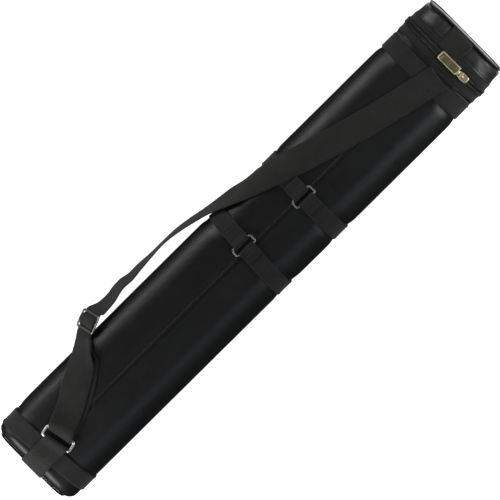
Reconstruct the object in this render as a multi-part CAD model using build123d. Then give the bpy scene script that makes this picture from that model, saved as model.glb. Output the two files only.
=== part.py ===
from build123d import *
import os, math

# Cue case, lying on its back. X runs along the case (+X towards the lid),
# +Y is the side the carrying strap hangs over, +Z is the front face.
# z = 0 is the plane the bands' undersides rest on. Millimetres.

# ---- driving dimensions ----
BAND_T = 1.8          # webbing band thickness
W = 141.4             # width over the cover
H = 86.0              # depth over the cover
R = 36.0              # corner radius of the cross-section
Z_BACK = BAND_T       # cover's back face
ZC = Z_BACK + H / 2   # centre of the cross-section
F = Z_BACK + H        # cover's front face
X_BOT = -415.0        # cover's bottom end
X_COVER = 353.0       # where the body cover stops at the zip tape
X_PART = 369.5        # parting plane between body and lid
X_TOP = 408.5         # lid cover's end
END_R = 14.0          # rounding of the bottom end
LID_R = 6.0           # rounding of the lid's end
COVER_T, PAD_T, SHELL_T = 1.0, 2.5, 2.5
LID_IN = 1.5          # how much smaller the lid is all round
HINGE_Z = 1.5         # lid hinge axis height
STRAP_W, STRAP_T = 37.0, 1.7
LINING_T = 0.65
WELL_X0, WELL_X1 = -402.9, 352.0     # dividers that make the wells
SHELF_Z, DIV_T = 46.0, 2.0           # shelf between butts and shafts; divider thickness
BUTT_DIV = [-19.6, 19.6]
SHAFT_DIV = [-37.2, -12.6, 12.6, 37.2]

os.makedirs("parts", exist_ok=True)
written = []


def save(name, shape):
    shape.label = name
    export_step(shape, "parts/%s.step" % name)
    written.append(name)


def sec(d, x):
    """cross-section face, inset by d, in the plane at x"""
    return Plane.YZ.offset(x) * Pos(0, ZC) * RectangleRounded(W - 2 * d, H - 2 * d, R - d)


def prism(d, x0, x1, round_low=0.0, round_high=0.0):
    s = extrude(sec(d, x0), amount=x1 - x0)
    if round_low > 0:
        s = fillet(s.edges().group_by(Axis.X)[0], radius=round_low)
    if round_high > 0:
        s = fillet(s.edges().group_by(Axis.X)[-1], radius=round_high)
    return s


def ring(d0, d1, x0, x1):
    return prism(d0, x0, x1) - prism(d1, x0 - 1, x1 + 1)


def block(x0, x1, y0, y1, z0, z1):
    return Pos((x0 + x1) / 2, (y0 + y1) / 2, (z0 + z1) / 2) * Box(x1 - x0, y1 - y0, z1 - z0)


def slant(xc, half, deg):
    """endless slab across the case, its faces turned deg about Z"""
    return Pos(xc, 0, ZC) * Rot(0, 0, deg) * Box(2 * half, 400, 300)


# ---------------- body: shell, padding, cover ----------------
G = 0.05
d_pad, d_shell, d_in = COVER_T, COVER_T + PAD_T, COVER_T + PAD_T + SHELL_T
shell = prism(d_shell + G, X_BOT + 3.55, X_PART - 0.6, END_R - 3.6) - prism(d_in, X_BOT + 6.0, X_PART + 5, END_R - 6.0)
save("shell", shell)
padding = prism(d_pad + G, X_BOT + 1.05, X_PART - 5.5, END_R - 1.1) - prism(d_shell, X_BOT + 3.5, X_PART + 5, END_R - 3.5)
save("body_padding", padding)
cover = prism(0, X_BOT, X_COVER, END_R) - prism(d_pad, X_BOT + 1.0, X_COVER + 5, END_R - 1.0)
cover -= prism(END_R - 1.0, X_BOT - 3, X_BOT + 3)
save("body_cover", cover)

# bottom end panel and its piping
panel = prism(END_R - 0.9, X_BOT, X_BOT + 0.95)
save("bottom_panel", panel)


def piping(d, x, r):
    path = sec(d, x).faces()[0].outer_wire()
    p0 = path @ 0
    t0 = path % 0
    prof = Plane(origin=p0, z_dir=t0) * Circle(r)
    return sweep(prof, path=path)


save("bottom_piping", piping(END_R - 1.0, X_BOT - 1.45, 1.4))

# ---------------- webbing bands ----------------
BOT_C, BOT_HALF, BOT_SLANT = -385.0, 12.6, 4.6
band_ring = ring(-BAND_T, -0.02, X_BOT + 1, X_BOT + 60)
# where the band runs onto the rounded end it follows the rounding
end_solid = prism(-BAND_T, X_BOT - BAND_T, X_BOT + 60, END_R + BAND_T) - prism(-0.02, X_BOT - 0.02, X_BOT + 61, END_R)
bottom_band = end_solid & slant(BOT_C, BOT_HALF, BOT_SLANT)
save("bottom_band", bottom_band)

MID_A, MID_B, UP_C = -0.2, 103.6, 332.6
A_Y, B_Y = 9.0, -1.0       # centres of the two band rings across the case
BAR_Y = 5.8                # ring bars, either side of the ring's centre
RW = 1.5                   # ring wire radius
ring_z = F + 3.35


def thick_poly(pts, t):
    """closed polygon of a strip of thickness t along pts (2-D)"""
    n = len(pts)
    up, dn = [], []
    for i in range(n):
        a = pts[max(i - 1, 0)]
        b = pts[i]
        c = pts[min(i + 1, n - 1)]
        d1 = (b[0] - a[0], b[1] - a[1]) if i > 0 else (c[0] - b[0], c[1] - b[1])
        d2 = (c[0] - b[0], c[1] - b[1]) if i < n - 1 else d1
        l1, l2 = math.hypot(*d1), math.hypot(*d2)
        n1 = (-d1[1] / l1, d1[0] / l1)
        n2 = (-d2[1] / l2, d2[0] / l2)
        m = (n1[0] + n2[0], n1[1] + n2[1])
        ml = math.hypot(*m)
        m = (m[0] / ml, m[1] / ml)
        k = (t / 2) / max(m[0] * n1[0] + m[1] * n1[1], 0.5)
        up.append((b[0] + m[0] * k, b[1] + m[1] * k))
        dn.append((b[0] - m[0] * k, b[1] - m[1] * k))
    return up + dn[::-1]


def mid_band(xc, half, deg, yc, lap_up, lap_dn):
    """band round the case; its two ends fold round the ring's bars and are
    stitched back on themselves"""
    b = ring(-BAND_T, -0.02, xc - 50, xc + 50) & slant(xc, half, deg)
    b -= block(xc - 50, xc + 50, yc - BAR_Y, yc + BAR_Y, F - 8, F + 10)
    for sgn, lap in ((1, lap_up), (-1, lap_dn)):
        yb = yc + sgn * BAR_Y
        xb = xc - yb * math.tan(math.radians(deg))
        b += Pos(xb, yb, ring_z) * Rot(0, 0, deg) * Rot(0, 90, 0) * Cylinder(3.3, 2 * half - 0.2)
        poly = thick_poly([(yb + sgn * 0.4, ring_z + 2.4), (yb + sgn * 4.0, ring_z + 1.3), (yb + sgn * 8.0, F + 2.62), (yb + sgn * lap, F + 2.62)], 1.7)
        f = make_face(Polyline(*[(xc - 50, y, z) for y, z in poly], close=True))
        b += extrude(f, amount=100, dir=(1, 0, 0)) & slant(xc, half - 0.1, deg)
    for sgn in (1, -1):
        yb = yc + sgn * BAR_Y
        xb = xc - yb * math.tan(math.radians(deg))
        b -= Pos(xb, yb, ring_z) * Rot(0, 0, deg) * Rot(0, 90, 0) * Cylinder(RW + 0.12, 60)
    return b


band_a = mid_band(MID_A, 12.4, -3.2, A_Y, 23.0, 18.0)
save("mid_band_a", band_a)
band_b = mid_band(MID_B, 12.6, -0.8, B_Y, 21.0, 18.0)
save("mid_band_b", band_b)
up_band = ring(-BAND_T, -0.02, UP_C - 12.5, UP_C + 12.5)
save("upper_band", up_band)


def rect_ring(lx, ly, r, cr):
    """rectangular wire ring, centreline lx by ly, corner radius cr, in XY about 0"""
    path = (Plane.XY * RectangleRounded(lx, ly, cr)).faces()[0].outer_wire()
    prof = Plane(origin=path @ 0, z_dir=path % 0) * Circle(r)
    return sweep(prof, path=path)


# flat rings that join the two ends of each middle band
save("band_ring_a", Pos(MID_A + A_Y * math.tan(math.radians(3.2)), A_Y, ring_z) * Rot(0, 0, -3.2) * rect_ring(33.0, 2 * BAR_Y, RW, 3.0))
save("band_ring_b", Pos(MID_B, B_Y, ring_z) * Rot(0, 0, -0.8) * rect_ring(33.0, 2 * BAR_Y, RW, 3.0))


def strip_xz(pts, t, y0, y1):
    """strip drawn in XZ, running from y0 to y1"""
    poly = thick_poly(pts, t)
    face = make_face(Polyline(*[(x, y0, z) for x, z in poly], close=True))
    return extrude(face, amount=y1 - y0, dir=(0, 1, 0))


RING_X, RING_Z, RING_R = -369.0, F + 6.1, 2.0
RING_PITCH, RING_SPAN, RING_TURN = 14.0, 44.0, 11.0
# ring between the end strap and the carrying strap
turn = math.radians(RING_TURN)
rc = (RING_X + RING_PITCH / 2 * math.cos(turn), RING_PITCH / 2 * math.sin(turn) - 1.0)
ring_main = Pos(rc[0], rc[1], RING_Z) * Rot(0, 0, RING_TURN) * rect_ring(RING_PITCH, RING_SPAN, RING_R, 3.0)
save("strap_ring", ring_main)


# ---------------- carrying strap ----------------
# Straps lie on the case as bands on its developed surface: (x, a), where a is
# the distance round the section from the middle of the front face.
A_FLAT = W / 2 - R


def on_case(x, a, off):
    s = 1.0 if a >= 0 else -1.0
    m = abs(a)
    if m <= A_FLAT:
        return (x, a, F + off)
    q = (m - A_FLAT) / R
    if q <= math.pi / 2:
        return (x, s * (A_FLAT + (R + off) * math.sin(q)), F - R + (R + off) * math.cos(q))
    return (x, s * (W / 2 + off), F - R - (m - A_FLAT - R * math.pi / 2))


def lying(u, a, deg, off, n=5, w=STRAP_W):
    """row of points across a strap lying on the case; u from the bottom end"""
    t = math.radians(deg)
    out = []
    for j in range(n):
        k = (j / (n - 1) - 0.5) * w
        out.append(on_case(u - 407.0 - k * math.sin(t), a + k * math.cos(t), off))
    return out


def hanging(u, y, z, deg, tilt, n=5, w=STRAP_W):
    """row of points across a strap that stands clear of the case; the outer
    edge is tilted down by tilt"""
    t, g = math.radians(deg), math.radians(tilt)
    wx, wy, wz = -math.sin(t) * math.cos(g), math.cos(t) * math.cos(g), -math.sin(g)
    out = []
    for j in range(n):
        k = (j / (n - 1) - 0.5) * w
        out.append((u - 407.0 + k * wx, y + k * wy, z + k * wz))
    return out


def vsub(a, b): return (a[0] - b[0], a[1] - b[1], a[2] - b[2])
def vadd(a, b): return (a[0] + b[0], a[1] + b[1], a[2] + b[2])
def vmul(a, k): return (a[0] * k, a[1] * k, a[2] * k)
def vcross(a, b): return (a[1] * b[2] - a[2] * b[1], a[2] * b[0] - a[0] * b[2], a[0] * b[1] - a[1] * b[0])
def vunit(a):
    l = math.sqrt(a[0] ** 2 + a[1] ** 2 + a[2] ** 2) or 1.0
    return (a[0] / l, a[1] / l, a[2] / l)


def ribbon(rows, t):
    """closed faceted solid of thickness t about a grid of points"""
    n, m = len(rows), len(rows[0])
    top, bot = [], []
    for i in range(n):
        rt, rb = [], []
        for j in range(m):
            du = vsub(rows[min(i + 1, n - 1)][j], rows[max(i - 1, 0)][j])
            dw = vsub(rows[i][min(j + 1, m - 1)], rows[i][max(j - 1, 0)])
            nn = vunit(vcross(du, dw))
            rt.append(vadd(rows[i][j], vmul(nn, t / 2)))
            rb.append(vadd(rows[i][j], vmul(nn, -t / 2)))
        top.append(rt)
        bot.append(rb)
    faces = []

    def tri(a, b, c):
        w = Wire.make_polygon([a, b, c], close=True)
        faces.append(Face(w))

    def quad(a, b, c, d):
        tri(a, b, c)
        tri(a, c, d)

    for i in range(n - 1):
        for j in range(m - 1):
            quad(top[i][j], top[i + 1][j], top[i + 1][j + 1], top[i][j + 1])
            quad(bot[i][j], bot[i][j + 1], bot[i + 1][j + 1], bot[i + 1][j])
        quad(top[i][0], bot[i][0], bot[i + 1][0], top[i + 1][0])
        quad(top[i][-1], top[i + 1][-1], bot[i + 1][-1], bot[i][-1])
    for j in range(m - 1):
        quad(top[0][j], top[0][j + 1], bot[0][j + 1], bot[0][j])
        quad(top[-1][j], bot[-1][j], bot[-1][j + 1], top[-1][j + 1])
    return Solid(Shell(faces))


# end strap: a tail on the band, round the ring's near bar, back over the band
# and down the bottom end; it turns to line up with the ring's bar
lr = RING_R + 0.2 + BAND_T / 2
END_YC, END_HW = -2.0, 18.0


def cross_row(x, z, deg):
    q = math.radians(deg)
    return [(x - (k + END_YC) * math.sin(q), END_YC + k * math.cos(q), z) for k in (-END_HW, 0.0, END_HW)]


es = [cross_row(-392.0, F + 2.9, RING_TURN), cross_row(-376.0, F + 2.9, RING_TURN)]
es += [cross_row(RING_X + lr * math.cos(math.radians(a)), RING_Z + lr * math.sin(math.radians(a)), RING_TURN)
       for a in (-112, -90, -60, -25, 10, 45, 80, 105)]
es += [cross_row(*p) for p in ((-374.5, F + 7.2, 11), (-379.5, F + 5.1, 10), (-396.0, F + 4.9, 7), (-402.6, F + 3.2, 4), (-407.0, F + 0.4, 2),
                               (-411.8, F - 2.4, 0), (-415.8, F - 6.4, 0), (-418.6, F - 10.5, 0), (-419.1, F - 14.5, 0),
                               (-418.2, F - 19.0, 0), (-416.6, F - 26.0, 0), (-416.2, 26.0, 0))]
end_strap = ribbon(es, BAND_T)
save("bottom_end_strap", end_strap)

# adjuster's place: centre, direction of the strap, across, outward
ADJ_U, ADJ_Y, ADJ_Z, ADJ_DEG, ADJ_TILT = 182.5, 84.9, 61.5, 21.0, 54.0
t, g = math.radians(ADJ_DEG), math.radians(ADJ_TILT)
a_d = (math.cos(t), math.sin(t), 0.0)
a_w = (-math.sin(t) * math.cos(g), math.cos(t) * math.cos(g), -math.sin(g))
a_n = vcross(a_d, a_w)
a_c = (ADJ_U - 407.0, ADJ_Y, ADJ_Z)


def at_adj(s, nrm, n=5, w=STRAP_W):
    out = []
    for j in range(n):
        k = (j / (n - 1) - 0.5) * w
        p = vadd(vadd(a_c, vmul(a_d, s)), vadd(vmul(a_n, nrm), vmul(a_w, k)))
        out.append(p)
    return out


# loop round the ring's far bar
far = (RING_X + RING_PITCH * math.cos(turn), RING_PITCH * math.sin(turn) - 1.0)
fr = RING_R + 0.25 + STRAP_T / 2


def loop_row(deg, r=fr, n=5, w=STRAP_W):
    """row at an angle round the far bar; 0 points away from the near bar"""
    q = math.radians(deg)
    out = []
    for j in range(n):
        k = (j / (n - 1) - 0.5) * w
        cx = far[0] + r * math.cos(q) * math.cos(turn) - k * math.sin(turn)
        cy = far[1] + r * math.cos(q) * math.sin(turn) + k * math.cos(turn)
        out.append((cx, cy, RING_Z + r * math.sin(q)))
    return out


rows = []
# short end: from the adjuster's middle bar back to the ring, against the case
rows += [at_adj(6.0, -2.2), at_adj(-2.0, -2.2), at_adj(-9.0, -4.4), at_adj(-15.0, -4.6)]
rows += [hanging(160.0, 67.8, 71.2, 38, 54), hanging(152.0, 60.5, 80.6, 41, 44)]
rows += [lying(143.5, 49.0, 40, 1.6), lying(136, 42.6, 39, 1.4), lying(128, 36.4, 37, 1.3), lying(121, 31.3, 35, 1.3), lying(106, 22.0, 30, 1.3),
         lying(91, 15.0, 24, 1.3), lying(78, 10.4, 19, 1.3), lying(66, 6.8, 15, 1.9)]
rows += [loop_row(a) for a in (-80, -110, -145, 180, 145, 110, 80)]
# long end: over the short one to the adjuster
rows += [lying(64.0, 8.6, 16, 7.2), lying(76, 13.6, 23, 5.0), lying(91, 21.0, 28, 3.8), lying(106, 30.0, 32, 3.8),
         lying(121, 38.8, 34, 3.8), lying(134, 47.2, 37, 4.0)]
rows += [hanging(147.5, 59.6, 84.0, 39, 42), hanging(159.0, 69.6, 75.2, 37, 52)]
rows += [at_adj(-15.0, -2.2), at_adj(-9.5, -2.3), at_adj(-2.7, 2.35), at_adj(2.7, 2.35), at_adj(9.5, -2.3), at_adj(15.0, -2.2)]
rows += [hanging(u, y, z, d, tl) for u, y, z, d, tl in [
    (206, 85.0, 59.9, -6, 61), (216, 84.6, 57.8, -4, 64), (228, 85.4, 55.4, 5, 66), (240, 88.0, 52.8, 8, 68),
    (250, 88.8, 50.6, -4, 70), (264, 87.2, 47.4, 0, 73), (282, 88.2, 43.6, 2, 76), (302, 88.4, 40.4, 1, 81),
    (326, 89.1, 38.8, -2, 84), (350, 87.7, 40.2, -6, 81), (376, 83.4, 45.2, -9, 78), (398, 78.6, 51.8, -13, 76),
    (414, 74.8, 58.6, -17, 71), (428, 71.0, 65.6, -19, 64), (442, 67.3, 70.7, -20, 57)]]
rows += [lying(463, 67.0, -20, 1.6), lying(478, 61.2, -19, 1.7), lying(487, 58.2, -18, 2.2), lying(495, 55.6, -18, 3.3),
         lying(503, 52.9, -18, 3.3), lying(514, 49.3, -18, 3.3), lying(526, 45.2, -18, 3.2), lying(538, 40.8, -17, 1.9),
         lying(552, 36.0, -16, 1.5), lying(566, 31.7, -15.5, 1.4), lying(580, 27.6, -15, 1.4),
         lying(600, 22.0, -14.5, 1.3), lying(650, 8.8, -14, 1.3), lying(700, -2.8, -13, 1.3),
         lying(714, -5.8, -12.5, 1.6), lying(722, -7.5, -12, 3.0), lying(740, -11.4, -12, 3.0), lying(753.5, -14.4, -12, 3.0)]
strap = ribbon(rows, STRAP_T)
print("strap volume", strap.volume, "valid", strap.is_valid)
save("shoulder_strap", strap)
length = 0.0
for i in range(len(rows) - 1):
    d = vsub(rows[i + 1][2], rows[i][2])
    length += math.sqrt(d[0] ** 2 + d[1] ** 2 + d[2] ** 2)
print("strap length", round(length, 1))

# adjuster: a flat three-bar slide
adj2d = RectangleRounded(27.0, 45.5, 4.0) - Pos(-5.9, 0) * RectangleRounded(7.6, 39.2, 1.5) - Pos(5.9, 0) * RectangleRounded(7.6, 39.2, 1.5)
adj = extrude(adj2d, amount=2.2)
adj = Pos(0, 0, -1.1) * adj
adj_plane = Plane(origin=a_c, x_dir=a_d, z_dir=a_n)
adj = adj_plane * adj
save("strap_adjuster", adj)

# ---------------- zip: body half ----------------
keep_front = block(X_COVER - 20, X_TOP + 20, -100, 100, 6.0, 120.0)
back_mid = block(X_COVER - 20, X_TOP + 20, -46, 46, -5.0, 30.0)
save("zip_tape_body", ring(0.15, 0.95, X_COVER + 0.1, X_PART - 5.45) & keep_front)
tooth_b = ring(-1.6, 0.9, X_PART - 5.3, X_PART - 0.3) & keep_front
save("zip_teeth_body", tooth_b)
save("hinge_leaf_body", (ring(0.1, 0.95, X_COVER + 0.1, X_PART - 0.4) & back_mid) - block(X_COVER - 20, X_TOP + 20, -100, 100, 5.5, 120))
stop = Compound(children=[
    block(X_PART - 4.8, X_PART - 0.6, sy * 63.0 - 3, sy * 63.0 + 3, 8, 40) & ring(-2.2, -1.65, X_PART - 6, X_PART) & block(300, 400, -90, 90, 13, 19)
    for sy in (-1, 1)])
save("zip_stops", stop)

# ---------------- inside the body ----------------
# lining on the shell, a foam pad at the bottom, and flat dividers: a shelf
# with three wells for butts behind it and five for shafts in front of it
d_well = d_in + 0.05 + LINING_T + 0.05
save("body_lining", ring(d_in + 0.05, d_in + 0.05 + LINING_T, X_BOT + 14.5, X_PART - 2.0))
save("bottom_pad", prism(d_in + 0.1, X_BOT + 6.1, X_BOT + 20.0, END_R - 6.2) & block(X_BOT, X_BOT + 12.0, -100, 100, -10, 120))
Y_IN = W / 2 - d_well
Z_LO, Z_HI = Z_BACK + d_well, F - d_well
save("well_shelf", block(WELL_X0, WELL_X1, -Y_IN, Y_IN, SHELF_Z - DIV_T / 2, SHELF_Z + DIV_T / 2))
for i, y in enumerate(BUTT_DIV):
    save("butt_divider_%d" % (i + 1), block(WELL_X0, WELL_X1, y - DIV_T / 2, y + DIV_T / 2, Z_LO, SHELF_Z - DIV_T / 2 - 0.02))
for i, y in enumerate(SHAFT_DIV):
    drop = 0.3 if abs(y) > A_FLAT else 0.0
    save("shaft_divider_%d" % (i + 1), block(WELL_X0, WELL_X1, y - DIV_T / 2, y + DIV_T / 2, SHELF_Z + DIV_T / 2 + 0.02, Z_HI - drop))

# ---------------- lid ----------------
L = LID_IN
lid_cover = prism(L, X_PART + 15.6, X_TOP, 0, LID_R) - prism(L + 1.0, X_PART, X_TOP - 1.0, 0, LID_R - 1.0)
lid_cover -= prism(L + LID_R - 1.0, X_TOP - 3, X_TOP + 3)
save("lid_cover", lid_cover)
lid_pad = prism(L + 1.05, X_PART + 5.5, X_TOP - 1.05, 0, LID_R - 1.1) - prism(L + 3.0, X_PART, X_TOP - 3.0, 0, LID_R - 3.0)
save("lid_padding", lid_pad)
lid_shell = prism(L + 3.05, X_PART + 0.6, X_TOP - 3.05, 0, LID_R - 3.1) - prism(L + 5.2, X_PART - 1, X_TOP - 5.2, 0, 1.5)
save("lid_shell", lid_shell)
lining = prism(L + 5.25, X_PART + 1.2, X_TOP - 5.25, 0, 1.4) - prism(L + 6.0, X_PART - 1, X_TOP - 6.0, 0, 1.0)
save("lid_lining", lining)
save("lid_foam_pad", prism(L + 6.2, X_TOP - 16.0, X_TOP - 6.2, 0, 2.0))
# end panel, domed a little
lp = prism(L + LID_R - 0.9, X_TOP - 0.95, X_TOP + 3.0)
lp = fillet(lp.edges().group_by(Axis.X)[-1], radius=2.6)
save("lid_end_panel", lp)
save("lid_piping", piping(L + LID_R - 2.2, X_TOP + 1.5, 1.4))
# strip over the lid, ending at the piping
zl = F - L
lid_pts = [(X_PART + 13.0, zl + 1.0), (X_TOP - LID_R + 0.5, zl + 1.0), (X_TOP - 2.5, zl + 0.35), (X_TOP + 0.1, zl - 1.6)]
save("lid_strap", strip_xz(lid_pts, 1.6, -17.0, 19.0))
save("zip_tape_lid", (ring(0.4, 1.3, X_PART + 5.45, X_PART + 15.5) & keep_front)
     - block(X_PART + 12.0, X_TOP, -17.6, 19.6, F - 8, F + 4))
save("zip_teeth_lid", ring(-1.6, 0.9, X_PART + 0.3, X_PART + 5.3) & keep_front)
save("hinge_leaf_lid", (ring(0.1, 0.95, X_PART + 0.4, X_PART + 15.5) & back_mid) - block(X_COVER - 20, X_TOP + 20, -100, 100, 5.5, 120))

# ---------------- slider and pull ----------------
SL_Y = -37.0
Z_TEETH = F + 1.6
z0 = Z_TEETH + 0.4
plate_top = z0 + 1.7
sl = extrude(Plane.XY.offset(z0) * Pos(X_PART, SL_Y - 1.4) * RectangleRounded(11.0, 14.2, 3.0), amount=1.7)
NEAR_Y, PULL_Z = SL_Y + 2.4, plate_top + 0.3 + 0.8
# bridge: a front leg, a rear leg and a top bar
br_pts = [(NEAR_Y + 1.9, plate_top - 0.6), (NEAR_Y + 1.9, PULL_Z + 1.8), (NEAR_Y - 2.2, PULL_Z + 1.8), (NEAR_Y - 3.6, plate_top - 0.6)]
poly = thick_poly(br_pts, 1.3)
bridge = extrude(make_face(Polyline(*[(X_PART - 1.4, y, z) for y, z in poly], close=True)), amount=2.8, dir=(1, 0, 0))
slider = sl + bridge
save("zip_slider", slider)
FAR_Y = NEAR_Y + 5.6
LINK_R, LINK_HX = 0.8, 3.7
link = Pos(X_PART, (NEAR_Y + FAR_Y) / 2, PULL_Z) * rect_ring(2 * LINK_HX, FAR_Y - NEAR_Y, LINK_R, 1.0)
save("pull_link", link)
knuckle = Pos(X_PART, FAR_Y, PULL_Z) * Rot(0, 90, 0) * (Cylinder(1.75, 4.6) - Cylinder(1.1, 10))
T_Y0, T_Y1 = FAR_Y + 1.3, 6.5
tag = extrude(Plane.XY.offset(PULL_Z - 0.8) * Pos(X_PART + 0.6, (T_Y0 + T_Y1) / 2) * RectangleRounded(13.0, T_Y1 - T_Y0, 1.2), amount=1.6)
tag -= extrude(Plane.XY.offset(PULL_Z + 0.4) * Pos(X_PART + 0.6, (T_Y0 + T_Y1) / 2) * RectangleRounded(10.0, T_Y1 - T_Y0 - 3.4, 0.6), amount=2)
tag -= Pos(X_PART, FAR_Y, PULL_Z) * Rot(0, 90, 0) * Cylinder(1.6, 30)
tag += knuckle
save("pull_tag", tag)
print("hinge", X_PART, HINGE_Z, "near", NEAR_Y, PULL_Z, "far", FAR_Y)
print(len(written), "nodes")
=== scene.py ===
import bpy, bmesh, math, random
import numpy as np
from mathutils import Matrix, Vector


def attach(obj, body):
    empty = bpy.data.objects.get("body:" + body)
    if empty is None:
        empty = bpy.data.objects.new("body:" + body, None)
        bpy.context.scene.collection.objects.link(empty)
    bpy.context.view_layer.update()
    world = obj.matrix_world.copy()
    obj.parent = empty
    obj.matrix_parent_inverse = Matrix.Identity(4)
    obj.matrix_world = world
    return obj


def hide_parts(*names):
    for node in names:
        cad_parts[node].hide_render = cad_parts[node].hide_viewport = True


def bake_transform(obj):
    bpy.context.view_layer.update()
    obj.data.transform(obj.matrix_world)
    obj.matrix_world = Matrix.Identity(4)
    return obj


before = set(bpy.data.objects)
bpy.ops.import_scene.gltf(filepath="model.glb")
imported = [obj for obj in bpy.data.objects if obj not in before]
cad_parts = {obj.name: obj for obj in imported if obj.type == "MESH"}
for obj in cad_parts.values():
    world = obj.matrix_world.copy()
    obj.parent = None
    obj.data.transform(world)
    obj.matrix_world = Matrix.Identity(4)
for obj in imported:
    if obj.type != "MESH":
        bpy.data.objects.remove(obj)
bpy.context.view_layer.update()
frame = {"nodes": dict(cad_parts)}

random.seed(7)
RNG = np.random.RandomState(7)
MM = 0.001

# ------------------------------------------------------------------ dimensions (mm), as in the frame
BAND_T = 1.8
W, H, R = 141.4, 86.0, 36.0
Z_BACK = BAND_T
ZC = Z_BACK + H / 2
F = Z_BACK + H
X_BOT, X_COVER, X_PART, X_TOP = -415.0, 353.0, 369.5, 408.5
END_R = 14.0       # rounding of the bottom end
LID_R = 6.0        # rounding of the lid's end
L = 1.5
A1 = W / 2 - R
A2 = A1 + R * math.pi / 2
A3 = A2 + (H - 2 * R)
A4 = A3 + R * math.pi / 2
A5 = A4 + A1
CROWN = 1.9


def smooth(e0, e1, x):
    t = np.clip((np.asarray(x, float) - e0) / (e1 - e0), 0, 1)
    return t * t * (3 - 2 * t)


def crown(x, a):
    c = smooth(-372, -250, x) * (1 - smooth(225, 322, x))
    g = np.clip(1 - np.abs(a) / 62.0, 0, 1) ** 1.45
    return CROWN * c * g


def press(x, a, kind):
    """how far the soft cover is drawn in: under the tight bands, and towards both ends"""
    side = smooth(34, 52, np.abs(a)) * (1 - smooth(108, 150, np.abs(a)))
    if kind == "lid":
        return 1.25 * smooth(385, 394, x) * side
    p = np.zeros_like(x)
    for xc, half, amt in ((-385.0, 13.0, 1.1), (-0.2, 12.8, 1.5), (103.6, 13.0, 1.5), (332.6, 13.2, 2.0)):
        p = np.maximum(p, amt * np.exp(-(np.maximum(np.abs(x - xc) - half, 0) / 7.0) ** 2))
    p = np.maximum(p, 0.8 * smooth(296, 340, x) * (x < 360))
    p = p + 1.0 * (1 - smooth(-404, -330, x)) * smooth(30, 60, a)
    low = 1 - 0.9 * smooth(30, 60, -a) * (x < -350)
    return p * side * low * (x < 352) * smooth(-424, -396, x)


def sect(a, off):
    """point and normal on the section at girth a, offset off"""
    a = np.asarray(a, float)
    off = np.broadcast_to(np.asarray(off, float), a.shape)
    s = np.where(a >= 0, 1.0, -1.0)
    m = np.abs(a)
    th = np.select([m <= A1, m <= A2, m <= A3, m <= A4], [np.zeros_like(m), (m - A1) / R, np.full_like(m, math.pi / 2), math.pi / 2 + (m - A3) / R], math.pi)
    ny, nz = np.sin(th), np.cos(th)
    cy = np.select([m <= A1, m <= A4], [m, np.full_like(m, A1)], A1 - (m - A4))
    cz = np.select([m <= A2, m <= A3], [np.full_like(m, F - R), F - R - (m - A2)], Z_BACK + R)
    y = cy + (R + off) * ny
    z = cz + (R + off) * nz
    return s * y, z, s * ny, nz


def on(m, a, o, kind="body"):
    """points (mm) on the case: m along it (an arc length past the ends' rounding), a round it, o off it"""
    m, a, o = np.broadcast_arrays(np.asarray(m, float), np.asarray(a, float), np.asarray(o, float))
    xa, xb = X_BOT + END_R, X_TOP - LID_R
    base = np.where(m > 377.0, -L, 0.0) if kind == "lid" else np.zeros_like(m)
    o2 = o + crown(m, a) - press(m, a, kind)
    tl = np.clip((xa - m) / END_R, 0, 1.6)
    tr = np.clip((m - xb) / LID_R, 0, 1.6)
    er = np.where(tl > 0, END_R, LID_R)
    t = np.where(tl > 0, tl, tr)
    sg = np.where(tl > 0, -1.0, 1.0)
    x0 = np.where(tl > 0, xa, np.where(tr > 0, xb, m))
    x = x0 + sg * (er + o2) * np.sin(t) * (t > 0)
    off = np.where(t > 0, base - er + (er + o2) * np.cos(t), base + o2)
    y, z, ny, nz = sect(a, off)
    return np.stack([x, y, z], -1)


# ------------------------------------------------------------------ mesh helpers
def new_obj(name, verts, faces, mat=None, body="body", slot=None, replaces=(), uv=None, smooth_shade=True, sharp=None):
    me = bpy.data.meshes.new(name)
    me.from_pydata((np.asarray(verts, float) * MM).tolist(), [], [tuple(int(i) for i in f) for f in faces])
    if uv is not None:
        lay = me.uv_layers.new(name="wv")
        idx = np.zeros(len(me.loops), dtype=np.int32)
        me.loops.foreach_get("vertex_index", idx)
        lay.data.foreach_set("uv", (np.asarray(uv, float)[idx]).astype(np.float32).ravel())
    me.polygons.foreach_set("use_smooth", [smooth_shade] * len(me.polygons))
    me.validate()
    me.update()
    ob = bpy.data.objects.new(name, me)
    bpy.context.scene.collection.objects.link(ob)
    if mat is not None:
        me.materials.append(mat)
    if replaces:
        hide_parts(*replaces)
    if body:
        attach(ob, body)
    if sharp:
        mod = ob.modifiers.new("es", "EDGE_SPLIT")
        mod.split_angle = math.radians(sharp)
    return ob


def gfaces(nu, nv, cu=False, cv=False, base=0, flip=False):
    i = np.arange(nu if cu else nu - 1)
    j = np.arange(nv if cv else nv - 1)
    I, J = np.meshgrid(i, j, indexing="ij")
    I2, J2 = (I + 1) % nu, (J + 1) % nv
    q = np.stack([I * nv + J, I2 * nv + J, I2 * nv + J2, I * nv + J2], -1).reshape(-1, 4) + base
    return q[:, ::-1] if flip else q


class Bag:
    """collects many small shapes into one mesh"""
    def __init__(self):
        self.v, self.f, self.n, self.uv = [], [], 0, []

    def add(self, v, f, uv=None):
        v = np.asarray(v, float).reshape(-1, 3)
        f = np.asarray(f) + self.n
        self.v.append(v)
        self.f.extend([tuple(int(k) for k in q) for q in f])
        self.uv.append(np.zeros((len(v), 2)) if uv is None else uv)
        self.n += len(v)

    def obj(self, name, **kw):
        return new_obj(name, np.concatenate(self.v), self.f, uv=np.concatenate(self.uv) if kw.pop("use_uv", False) else None, **kw)


def unit(v):
    n = np.linalg.norm(v, axis=-1, keepdims=True)
    return v / np.maximum(n, 1e-9)


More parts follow.
